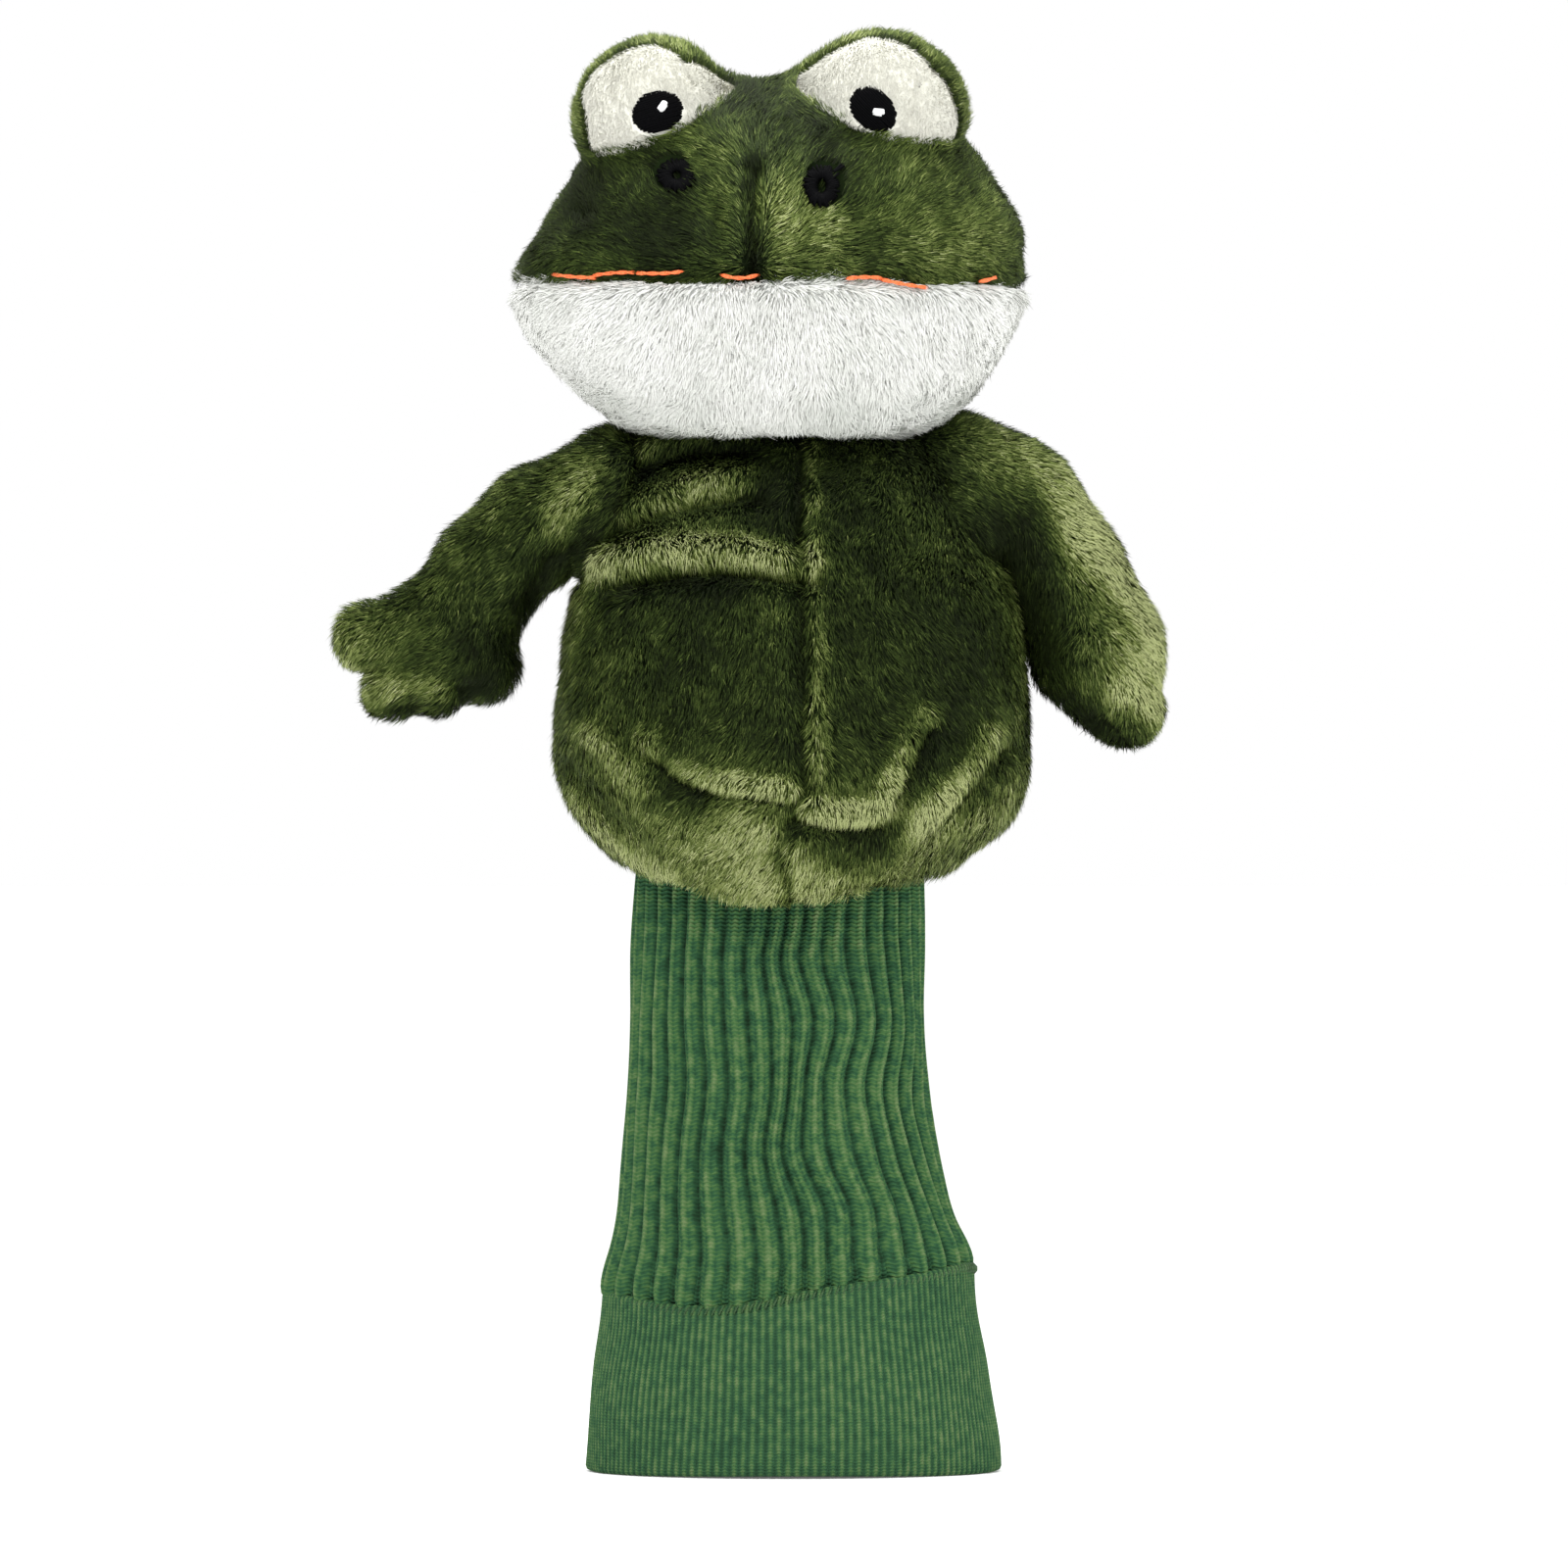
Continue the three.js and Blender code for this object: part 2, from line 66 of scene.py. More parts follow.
def node_middle(node):
    """The middle of a CAD node's box, in millimetres."""
    low, high = (np.array(corner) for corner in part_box(node))
    return (low + high) / 2 / MM


# ---- the outlines that the fur reaches ----
# Level sections: height, then how far the outline reaches to the left, right, front and back.
TORSO = [
    (132.5, -12, 12, -36, 10),
    (135, -25, 22, -42, 26),
    (140, -35, 35, -46, 34),
    (146, -44, 44, -49, 39),
    (153, -51, 52.5, -50.5, 43),
    (162, -55.5, 56.2, -51, 44.5),
    (174, -56.6, 56.8, -50, 44.5),
    (186, -55.8, 56.6, -48.5, 43.5),
    (198, -54.4, 56, -46.5, 42.5),
    (208, -52.5, 54, -43.5, 40.5),
    (218, -50, 50, -39.5, 38),
    (228, -47.5, 46.5, -34.5, 35),
    (236, -43, 41.5, -28.5, 31),
    (242, -36, 34, -23, 27),
    (246, -26, 24, -18, 21),
]
HEAD = [
    (241, -18, 16, -34, 12),
    (244, -36, 30, -43, 24),
    (250, -47, 41, -50, 33),
    (257.5, -55.8, 48, -53.5, 37),
    (268, -64, 53.5, -55.5, 39.5),
    (277, -66.6, 55.8, -55.5, 40.5),
    (283, -64.6, 55, -54, 40.5),
    (290, -60.4, 54.6, -51.5, 40),
    (300, -54.6, 49.4, -47, 38),
    (310, -48, 42.4, -39.5, 35),
    (318, -38, 30, -30.5, 30),
    (324, -22, 11, -19, 20),
    (327, -12, 1, -10, 11),
]
SLEEVE = [
    (34, -44.6, 43.9, -38.6, 38.6),
    (42, -43.6, 43.6, -37.6, 37.6),
    (48, -42.8, 43, -36.8, 36.8),
    (53, -41.9, 41.2, -35.4, 35.4),
    (59, -41.1, 38.4, -33.6, 33.6),
    (70, -40.2, 35.4, -31.6, 31.6),
    (88, -39, 32.6, -29.8, 29.8),
    (108, -38, 30.8, -28.8, 28.8),
    (124, -37.8, 31, -28.4, 28.4),
    (153, -35.6, 30, -27.6, 27.6),
]
CUFF = [
    (-2, -48.6, 48.8, -42.4, 42.4),
    (9, -48.2, 48.6, -42.2, 42.2),
    (24, -46.2, 46.6, -40.2, 40.2),
    (36, -44.2, 44.2, -38.4, 38.4),
    (52, -43.4, 43, -37.4, 37.4),
]
# The space inside the body bag: a recess that the top of the sleeve sits in, then the hand chamber.
CHAMBER = [
    (120, -47, 41, -39, 39),
    (134, -44, 37.6, -35.5, 35.5),
    (142, -40.8, 34.6, -32.4, 32.4),
    (150, -38.4, 33.4, -30.6, 30.6),
    (155, -37.4, 32.8, -29.4, 29.4),
    (159, -34.4, 32.4, -25.4, 25.4),
    (180, -33.4, 32.4, -24.4, 24.4),
    (205, -27.4, 26.4, -19.4, 20.4),
    (231, -20.4, 13.4, -13.8, 17.8),
    (252, -18, 10, -12, 16),
]
FINGER_POCKET = [
    (240, -17, 9, -9, 15),
    (280, -16, 8, -8.4, 14.4),
    (287, -12, 4, -5, 11),
]
# Each arm is a chain of rounded bars: start, end, radius at each end, and depth as a share of width.
ARMS = {
    "left": [
        ((-41, -2, 229), (-58, -3, 222), 17, 14.8, 1.0),
        ((-58, -3, 222), (-71, -4, 210), 14.8, 14.2, 0.95),
        ((-71, -4, 210), (-80, -5, 196), 14.2, 16.6, 0.8),
        ((-80, -6, 199), (-99.6, -6, 195.4), 12, 9.2, 0.9),
        ((-82, -6, 196), (-92.8, -6, 183.5), 12, 9.2, 0.85),
        ((-80, -6, 192), (-83.6, -6, 184.6), 11, 9, 0.85),
        ((-76, -6, 196), (-71.5, -6, 189.5), 13, 10.2, 0.85),
    ],
    "right": [
        ((38, -2, 232.4), (53, -2, 226.5), 17.6, 15.6, 1.0),
        ((53, -2, 226.5), (64.4, -3, 209), 15.6, 15.2, 0.95),
        ((64.4, -3, 209), (71.6, -4, 192), 15.2, 16.8, 0.85),
        ((71.6, -4, 192), (78, -5, 179.2), 16.2, 10.8, 0.85),
        ((70, -5, 189), (72, -6, 182), 12.5, 9.6, 0.85),
    ],
}
PILE = 2.5  # how far the outline of the fur stands off the cloth that it grows from
OUTER_SIDE = -0.6  # field of a skin above which a point is on its outer side
MOUTH = 277.8  # height of the mouth line
FACE_BACK = 6  # the white chin ends this far back
HEAD_SEAM = -8.5  # x of the seam down the front of the head
SHOULDER_BALL = 15.4  # radius of the ball at the root of an arm
SHOULDER_HOLLOW = SHOULDER_BALL + 1
BODY_NECK_HOLLOW = 23.4  # radius of the hollow round the neck in the body bag, and in the head
HEAD_NECK_HOLLOW = 21.6
NECK_CLOTH = (21.7, 22.9)  # inner and outer radius of the cloth between the two
FELT_SUNK = 1.5  # how far the front of the felt is behind the outline of the fur
FELT_THICK = 1.7
STRANDS_IN_A_PIECE = 60000  # the most fibres in one piece of pile; keeps each piece of pile light enough to export whole

# Folds and seams pressed into the front of a skin: points as (x, z), depth (+ is a ridge), half width,
# and how much light is painted on the pile there: painted highlight if positive, painted shade if negative.
BODY_FOLDS = [
    (((-44.2, 213.5), (-30, 216), (-14, 215.1), (1.8, 212.3)), 2.6, 3.4, 0.66),
    (((-41, 207.2), (-30, 209.6), (-17, 211.1), (-6, 210), (5, 208.6)), -3, 2.4, -0.3),
    (((-44, 223), (-35.5, 225.4), (-19, 231.4), (-13, 232.6)), 2.1, 3, 0.46),
    (((-42, 220.2), (-28, 225.6), (-15, 228), (-6, 228)), -2, 2.2, -0.2),
    (((-36, 239.6), (-24, 242), (-11, 243)), 1.6, 2.4, 0.34),
    (((-41, 233), (-25, 238.6), (-8, 240)), -1.8, 2.2, -0.24),
    (((-32.6, 172.6), (-26.8, 166), (-19, 163), (-1, 160.4)), 2.1, 2.2, 0.44),
    (((-30, 166), (-25.6, 161.6), (-20, 159.6)), -3.2, 3.2, -0.42),
    (((-20, 159.6), (-8, 158.4), (3, 157.8)), -1.6, 1.2, -0.25),
    (((-45, 173), (-40, 167.4), (-33.6, 162.6)), 1.3, 2.6, 0.38),
    (((30.3, 177.4), (25.5, 169), (22.4, 161)), 2.3, 2.4, 0.46),
    (((31.5, 174), (26, 162), (23.4, 154.4)), -3.2, 2.2, -0.34),
    (((45.6, 173), (39.8, 164.3), (31, 154)), 1.9, 2.6, 0.46),
    (((49, 170), (43, 161), (35, 151)), -2, 2.2, -0.2),
    (((4.6, 156), (14, 155), (22, 156)), 2, 2.4, 0.5),
    (((0, 153.6), (9.7, 150.8), (21, 151.4)), -2.8, 2, -0.34),
    (((-52, 166), (-43, 154), (-33, 146)), -1.6, 2.4, -0.16),
    (((-52, 159), (-41, 148.6), (-30, 141.6)), 1.3, 3, 0.2),
    (((2.8, 247), (2.2, 219), (2.8, 190), (2.8, 160)), -2.2, 1.2, -0.45),
    (((1.6, 222), (1.6, 216)), -2, 2.6, -0.25),
    (((1.4, 156), (-2, 146), (1, 133)), -1.4, 1.5, -0.36),
    (((5.2, 246), (4.8, 219), (5.6, 190), (5.4, 164)), 0.4, 1.6, 0.36),
]
HEAD_FOLDS = [
    (((-8.3, 303), (-9, 279)), -2.6, 1.3, -0.6),
    (((-5, 298), (-5.4, 281)), 0.5, 2.2, 0.2),
    (((-12, 296), (-12.4, 281)), 0.4, 2.2, 0.1),
    (((-48, 293), (-47.6, 292.6)), -1.8, 2, -0.42),
    (((-30, 306), (-10, 314), (6, 312)), 0.7, 5.4, -0.08),
]
# The eye mounds: height of the middle, then radii.
EYE_SIZES = {"left": (316.6, (20.0, 19.0, 19.8)), "right": (318.4, (21.0, 19.0, 20.0))}
EYES = {
    side: {
        "middle": node_middle(f"eye_stuffing_{side}") * (1, 1, 0) + np.array((0, 0, height)),
        "radii": np.array(radii),
    }
    for side, (height, radii) in EYE_SIZES.items()
}
# From each eye mound a brow slopes down to the dip in the middle of the head: a bar, as for the arms.
BROWS = [
    ((-33, -9, 319), (-8, -7, 315), 16.6, 9.6, 0.9),
    ((19, -9, 320), (-5, -7, 315), 17.8, 10.2, 0.9),
]
# The felt eye patches, seen from the front: corners of closed smooth curves, as (x, z).
EYE_PATCHES = {
    "left": [
        (-47.6, 317), (-48.4, 322.4), (-44.6, 328), (-38.6, 331.6), (-32, 332.8), (-27.4, 331.4),
        (-25.2, 329.4), (-22, 328.8), (-17, 326), (-12.6, 323), (-15.4, 319.8), (-22, 315.8),
        (-28, 312), (-35, 309.2), (-43, 307.6), (-46.4, 308.6),
    ],
    "right": [
        (0.4, 324.2), (5, 328.4), (11, 332), (18, 334.4), (25, 333.4), (30.4, 330),
        (32.4, 327.6), (36, 324), (38.2, 317.4), (38, 312.6), (35.4, 310.6), (30, 310.4),
        (23, 310.6), (16, 313), (10, 316.2), (4, 319.8),
    ],
}
# Pupils: middle, half sizes and tilt. Glints: middle. Nostrils: middle, half sizes, half sizes of the hole.
PUPILS = {"left": ((-31.3, 317.3), (6.2, 4.7), 0.3), "right": ((18.9, 317.9), (6.0, 4.5), -0.78)}
GLINTS = {"left": (-30, 318.6), "right": (20.2, 317.2)}
GLINT_SIZE = (1.5, 0.95)
NOSTRILS = {
    "left": ((-26.6, 302.2), (4.3, 3.8), (1.1, 1.1)),
    "right": ((6.9, 299.5), (3.9, 4.7), (1.2, 1.8)),
}
# Orange stitches of the mouth: the ends, and how far the middle sags.
MOUTH_STITCHES = [
    ((-56, 279.6), (-45, 278.4), 0.3),
    ((-46.5, 278.8), (-36, 279.4), -0.3),
    ((-36.5, 279.4), (-24.5, 279.6), 0.4),
    ((-16.5, 278.8), (-7.5, 278.8), 0.9),
    ((12.5, 277.8), (21, 278), -0.3),
    ((20.5, 277.8), (31.5, 276), 0.2),
    ((43.6, 277.8), (47.6, 279), 0.2),
]
FELT_CREASES = {"left": ((-25.2, 330), (-22.6, 325), (-17, 322)), "right": ((30, 324), (28, 316))}
# Threads pulled through the dimples of a hand: the ends.
FINGER_THREADS = {
    "left": [((-100, 187), (-96, 188.6)), ((-81.4, 182), (-80.4, 186.6))],
    "right": [((79.6, 180), (77, 183.6))],
}
ARM_FOLDS = {
    "left": [
        (((-46, 219), (-56, 215), (-59, 209), (-61, 205)), -1.8, 1.9, -0.28),
        (((-57, 204), (-54, 210)), 0.8, 1.8, 0.2),
        (((-54, 224), (-47, 232)), 0.8, 3, 0.4),
        (((-74, 212), (-76, 202), (-68, 194)), -0.3, 5.5, -0.12),
        (((-93, 179.4), (-87, 180.4)), -1.3, 1.5, -0.3),
        (((-77, 184), (-71, 185.2)), -1.6, 1.7, -0.2),
        (((-93, 184), (-91.6, 184)), 0.6, 2.4, 0.32),
        (((-84, 184.4), (-82.4, 184.4)), 0.6, 2.4, 0.32),
        (((-86, 176.4), (-75, 178.4), (-66, 185)), 0.4, 1.8, 0.2),
        (((-104, 189), (-99, 186)), 0.3, 2, 0.18),
        (((-100, 187), (-95, 188.6)), -1, 1.6, -0.16),
    ],
    "right": [
        (((79, 180.5), (81.3, 176.5)), -1.6, 1.7, -0.4),
        (((71.5, 177), (76, 174.4), (78, 172)), -2.1, 2.2, -0.42),
        (((42, 247), (52, 241), (62, 233), (70, 222)), 0.5, 5, 0.36),
        (((46, 236), (57, 230), (66, 219)), 0, 5, 0.28),
        (((74, 216), (80, 206), (83, 196), (84, 182)), 0.6, 5.6, 0.4),
        (((50, 222), (56, 210.6), (59.6, 197.6), (62.6, 185.5), (69, 178)), -1, 4, -0.2),
        (((76, 184), (81, 181)), 0.6, 2.6, 0.3),
    ],
}


# ---- fields: signed distance, negative inside ----
NEAR_MIDDLE = 1e-3  # share of the radius below which an oval's distance would divide by nearly nothing


def column(heights, rows, index):
    """One column of a table of level sections at any heights, as a smooth curve through its rows."""
    table = np.array(rows, float)
    at, value = table[:, 0], table[:, index]
    slope = np.gradient(value, at)
    place = np.clip(np.searchsorted(at, heights) - 1, 0, len(at) - 2)
    span = at[place + 1] - at[place]
    t = np.clip((heights - at[place]) / span, 0, 1)
    square, cube = t * t, t * t * t
    return (
        (2 * cube - 3 * square + 1) * value[place]
        + (cube - 2 * square + t) * span * slope[place]
        + (3 * square - 2 * cube) * value[place + 1]
        + (cube - square) * span * slope[place + 1]
    )


def section(heights, rows):
    """The middle and the half sizes of the ovals at some heights."""
    left, right, front, back = (column(heights, rows, index) for index in (1, 2, 3, 4))
    return (left + right) / 2, (front + back) / 2, (right - left) / 2, (back - front) / 2


def loft_open(p, rows):
    """Distance from the solid with these level sections, which runs on past its first and last."""
    middle_x, middle_y, half_x, half_y = section(p[..., 2], rows)
    dx, dy = p[..., 0] - middle_x, p[..., 1] - middle_y
    share = np.maximum(np.hypot(dx / half_x, dy / half_y), NEAR_MIDDLE)
    return np.hypot(dx, dy) * (1 - 1 / share)


def loft(p, rows):
    """The same solid, cut off level at its first and last section."""
    return np.maximum(loft_open(p, rows), np.maximum(rows[0][0] - p[..., 2], p[..., 2] - rows[-1][0]))


def ellipsoid(p, middle, radii):
    """Distance from an ellipsoid, near enough for a surface."""
    offset = p - middle
    share = np.maximum(np.linalg.norm(offset / radii, axis=-1), NEAR_MIDDLE)
    return np.linalg.norm(offset, axis=-1) * (1 - 1 / share)


def bar(p, start, end, radius_start, radius_end, depth):
    """Distance from a rounded bar, flattened front to back."""
    start, end = np.array(start, float), np.array(end, float)
    along = end - start
    t = np.clip((p - start) @ along / (along @ along), 0, 1)
    offset = p - (start + t[..., None] * along)
    offset[..., 1] /= depth
    return np.linalg.norm(offset, axis=-1) - (radius_start + t * (radius_end - radius_start))


def join(a, b, soft):
    """Two fields joined with a rounded inside corner."""
    h = np.clip(0.5 + 0.5 * (b - a) / soft, 0, 1)
    return b + h * (a - b) - soft * h * (1 - h)


def ball(p, middle, radius):
    """Distance from a ball."""
    return np.linalg.norm(p - middle, axis=-1) - radius


def smooth(value, low, high):
    """0 below low, 1 above high, and a smooth step between them."""
    t = np.clip((value - low) / (high - low), 0, 1)
    return t * t * (3 - 2 * t)


def bell(distance, width):
    """1 at no distance, fading to 0 over about twice the width."""
    return np.exp(-((distance / width) ** 2))


def spot(p, middle, size):
    """A bell over an oval seen from the front, its middle given as (x, z)."""
    return np.exp(-(((p[:, 0] - middle[0]) / size[0]) ** 2) - ((p[:, 2] - middle[1]) / size[1]) ** 2)


def stroke_distance(p, points):
    """Distance, seen from the front, to a line through points given as (x, z)."""
    flat = p[..., [0, 2]]
    nearest = np.full(p.shape[:-1], np.inf)
    for start, end in zip(points[:-1], points[1:]):
        start, along = np.array(start, float), np.subtract(end, start)
        t = np.clip((flat - start) @ along / (along @ along), 0, 1)
        nearest = np.minimum(nearest, np.linalg.norm(flat - start - t[..., None] * along, axis=-1))
    return nearest


def facing_front(normals):
    return smooth(-normals[:, 1], 0.05, 0.4)


def pressed(p, normals, folds):
    """How far a skin moves out at its folds, on the side that faces the front."""
    total = np.zeros(len(p))
    for points, depth, width, _ in folds:
        total += depth * bell(stroke_distance(p, points), width)
    return total * facing_front(normals)


def painted_fold_light(p, normals, folds):
    """Painted highlight and shade on the pile along the folds, on the side that faces the front."""
    spread, darkest, lightest = 1.5, -0.5, 0.7
    total = np.zeros(len(p))
    for points, _, width, painted_light in folds:
        total += painted_light * bell(stroke_distance(p, points), spread * width)
    return np.clip(total, darkest, lightest) * facing_front(normals)


def torso_outline(p):
    return loft(p, TORSO)


def torso_skin(p):
    """The body bag: its outline less the pile, open inside, with a hollow at the neck and each shoulder."""
    hollows = np.minimum(loft_open(p, CHAMBER), ball(p, NECK, BODY_NECK_HOLLOW))
    for shoulder in SHOULDERS.values():
        hollows = np.minimum(hollows, ball(p, shoulder, SHOULDER_HOLLOW))
    return np.maximum(torso_outline(p) + PILE, -hollows)


def arm_outline(p, side):
    first, *others = ARMS[side]
    field = bar(p, *first)
    for piece in others:
        field = join(field, bar(p, *piece), 3)
    return field


def arm_skin(p, side):
    """An arm, with a ball for its root that fills the hollow in the body bag."""
    clear_of_torso = np.maximum(arm_outline(p, side) + PILE, -(torso_outline(p) + PILE - 1))
    return np.minimum(clear_of_torso, ball(p, SHOULDERS[side], SHOULDER_BALL))


def head_outline(p):
    field = loft(p, HEAD)
    for eye in EYES.values():
        field = join(field, ellipsoid(p, eye["middle"], eye["radii"]), 4)
    for brow in BROWS:
        field = join(field, bar(p, *brow), 3)
    return field


def head_skin(p):
    hollows = np.minimum(ball(p, NECK, HEAD_NECK_HOLLOW), loft(p, FINGER_POCKET))
    return np.maximum(head_outline(p) + PILE, -hollows)


def front_of(field, x, z, inwards):
    """The y of the front of a solid at each x and z, moved inwards by a distance."""
    foremost, hindmost, step = -62, 10, 0.5
    x, z = np.asarray(x, float), np.asarray(z, float)
    depths = np.arange(foremost, hindmost, step)
    grid = np.stack(np.broadcast_arrays(x[..., None], depths, z[..., None]), axis=-1)
    values = field(grid) + inwards
    first = np.argmax(values < 0, axis=-1)
    after = np.take_along_axis(values, first[..., None], -1)[..., 0]
    before = np.take_along_axis(values, np.maximum(first - 1, 0)[..., None], -1)[..., 0]
    share = np.clip(after / np.minimum(after - before, -1e-6), 0, 1)
    hit = (values < 0).any(axis=-1)
    deepest = np.take_along_axis(depths[None], np.argmin(values.reshape(-1, len(depths)), -1)[None], -1)
    return np.where(hit, depths[first] - step * share, deepest.reshape(hit.shape))


def closed_curve(corners):
    """Points of a smooth closed curve through corners given as (x, z)."""
    steps = 10
    table = np.array(corners, float)
    before, after, later = (np.roll(table, shift, axis=0) for shift in (1, -1, -2))
    made = []
    for t in np.arange(steps) / steps:
        made.append(
            table + 0.5 * t * (after - before)
            + t * t * (before - 2.5 * table + 2 * after - 0.5 * later)
            + t ** 3 * (1.5 * table - 1.5 * after + 0.5 * later - 0.5 * before)
        )
    return np.stack(made, axis=1).reshape(-1, 2)


def outline_distance(x, z, curve):
    """Signed distance to a closed curve, negative inside."""
    nearest = np.full(np.shape(x), np.inf)
    inside = np.zeros(np.shape(x), bool)
    for (x0, z0), (x1, z1) in zip(curve, np.roll(curve, -1, axis=0)):
        dx, dz = x1 - x0, z1 - z0
        t = np.clip(((x - x0) * dx + (z - z0) * dz) / (dx * dx + dz * dz), 0, 1)
        nearest = np.minimum(nearest, np.hypot(x - x0 - t * dx, z - z0 - t * dz))
        crosses = (z0 > z) != (z1 > z)
        inside ^= crosses & (x < x0 + dx * (z - z0) / (dz if dz else 1e-9))
    return np.where(inside, -nearest, nearest)


# ---- surfaces ----
class Surface:
    """A triangle mesh in millimetres with smooth normals."""

    def __init__(self, points, triangles):
        self.points = np.asarray(points, float)
        self.triangles = np.asarray(triangles, int)
        self.refresh()

    def corners(self):
        return (self.points[self.triangles[:, i]] for i in range(3))

    def refresh(self):
        a, b, c = self.corners()
        face = np.cross(b - a, c - a)
        self.areas = np.linalg.norm(face, axis=1) / 2
        normals = np.zeros_like(self.points)
        for i in range(3):
            np.add.at(normals, self.triangles[:, i], face)
        self.normals = unit(normals)

    def push(self, amount):
        """Moves every point out along its normal."""
        self.points = self.points + self.normals * amount[:, None]
        self.refresh()

    def scatter(self, per_mm2, rng):
        """Random places on the surface and the normals there."""
        count = int(self.areas.sum() * per_mm2)
        chosen = np.searchsorted(np.cumsum(self.areas), rng.random(count) * self.areas.sum())
        u, v = rng.random(count), rng.random(count)
        over = u + v > 1
        u[over], v[over] = 1 - u[over], 1 - v[over]
        weights = np.stack((1 - u - v, u, v), axis=1)[:, :, None]
        chosen = np.minimum(chosen, len(self.triangles) - 1)
        picked = self.triangles[chosen]
        return (self.points[picked] * weights).sum(1), unit((self.normals[picked] * weights).sum(1))


def unit(vectors):
    return vectors / np.maximum(np.linalg.norm(vectors, axis=-1, keepdims=True), 1e-9)


def surface_of(field, low, high, cell):
    """The surface where a field is zero, inside a box."""
    low, high = np.array(low, float), np.array(high, float)
    counts = np.ceil((high - low) / cell).astype(int) + 1
    axes = [low[i] + cell * np.arange(counts[i]) for i in range(3)]
    values = field(np.stack(np.meshgrid(*axes, indexing="ij"), axis=-1)).astype(np.float32)
    far_outside, furthest_kept = 100.0, 20
    grid = openvdb.FloatGrid(far_outside)
    grid.copyFromArray(np.clip(values, -furthest_kept, furthest_kept))
    points, triangles, quads = grid.convertToPolygons(isovalue=0.0, adaptivity=0.0)
    both = np.concatenate([triangles.reshape(-1, 3), quads[:, [0, 1, 2]], quads[:, [0, 2, 3]]])
    surface = Surface(points * cell + low, both.astype(int))
    a, b, c = surface.corners()
    if (a * np.cross(b, c)).sum() < 0:
        surface = Surface(surface.points, surface.triangles[:, ::-1])
    return surface


def waves(p, scale, seed):
    """Smooth seeded noise, about -1 to 1, with lumps of about the scale."""
    count = 14
    rng = np.random.default_rng(seed)
    total = np.zeros(p.shape[:-1])
    for _ in range(count):
        direction = rng.normal(size=3)
        total += np.sin(p @ direction * (1.6 / scale) + rng.random() * 2 * math.pi)
    return total / math.sqrt(count)


def mottled(p, base, *layers):
    """A base value with layers of noise over it, each given as strength, size and seed."""
    for strength, size, seed in layers:
        base = base + strength * waves(p, size, seed)
    return base


# ---- Blender objects ----
def new_object(name, points, faces, materials, body):
    """A mesh object that rides on a body, unless body is None. Faces is an array, or a list of arrays."""
    groups = faces if isinstance(faces, list) else [faces]
    mesh = bpy.data.meshes.new(name)
    loops = np.concatenate([group.ravel() for group in groups])
    sizes = np.concatenate([np.full(len(group), group.shape[1]) for group in groups])
    mesh.vertices.add(len(points))
    mesh.vertices.foreach_set("co", (np.asarray(points) * MM).astype(np.float32).ravel())
    mesh.loops.add(len(loops))
    mesh.loops.foreach_set("vertex_index", loops.astype(np.int32))
    mesh.polygons.add(len(sizes))
    mesh.polygons.foreach_set("loop_start", (np.cumsum(sizes) - sizes).astype(np.int32))
    mesh.update(calc_edges=True)
    mesh.polygons.foreach_set("use_smooth", np.ones(len(sizes), bool))
    for material in materials:
        mesh.materials.append(material)
    obj = bpy.data.objects.new(name, mesh)
    bpy.context.scene.collection.objects.link(obj)
    if body:
        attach(obj, body)
    return obj


def quads_of(*corners):
    """Quads from four arrays of point numbers."""
    return np.stack(corners, axis=-1).reshape(-1, 4)


def placed(x, y, z):
    return np.stack([x, y, z], axis=-1)


def tubes(name, paths, radii, material, body, sides=6):
    """Round threads along paths with the same number of points, as one object."""
    paths = np.asarray(paths, float)
    count, steps = paths.shape[:2]
    radii = np.broadcast_to(radii, (count, steps))
    along = unit(np.gradient(paths, axis=1))
    slanted = (0.13, 1, 0.21)  # no thread runs this way
    across = unit(np.cross(along, slanted))
    other = np.cross(along, across)
    rings = []
    for i in range(sides):
        angle = 2 * math.pi * i / sides
        rings.append(paths + radii[..., None] * (math.cos(angle) * across + math.sin(angle) * other))
    points = np.stack(rings, axis=2).reshape(-1, 3)
    start = (np.arange(count) * steps * sides)[:, None, None]
    row = (np.arange(steps - 1) * sides)[None, :, None]
    side = np.arange(sides)[None, None, :]
    after = (side + 1) % sides
    this_ring, next_ring = start + row, start + row + sides
    quads = quads_of(this_ring + side, this_ring + after, next_ring + after, next_ring + side)
    near = start[:, 0] + np.arange(sides)[::-1]
    far = start[:, 0] + (steps - 1) * sides + np.arange(sides)
    return new_object(name, points, [quads, np.concatenate([near, far])], [material], body)


# ---- materials ----
def linear(red, green, blue):
    """An everyday 0-255 colour as the shader's linear colour."""
    return tuple(((value / 255 + 0.055) / 1.055) ** 2.4 for value in (red, green, blue)) + (1.0,)


def shader(name, colour, roughness, sheen=0.0, specular=0.3):
    """A plain material that the others start from."""
    material = bpy.data.materials.new(name)
    material.use_nodes = True
    node = material.node_tree.nodes["Principled BSDF"]
    node.inputs["Base Color"].default_value = colour
    node.inputs["Roughness"].default_value = roughness
    node.inputs["Sheen Weight"].default_value = sheen
    node.inputs["Specular IOR Level"].default_value = specular
    return material


# The light end of each fibre palette is used mostly where the tone paints highlight, the dark end where it
# paints shade.
GREEN_SHAFTS = [(16, 22, 7), (25, 34, 11), (38, 49, 18), (57, 69, 28), (88, 100, 48)]
GREEN_TIPS = [(22, 30, 10), (35, 46, 16), (54, 68, 27), (84, 98, 46), (124, 136, 76), (168, 176, 120)]
WHITE_SHAFTS = [(213, 214, 208), (219, 220, 214), (225, 226, 221)]
WHITE_TIPS = [(200, 203, 196), (215, 217, 211), (223, 224, 219), (230, 231, 227)]
CREAM_SHAFTS = [(210, 209, 194), (220, 219, 206)]
CREAM_TIPS = [(218, 217, 204), (228, 227, 216)]


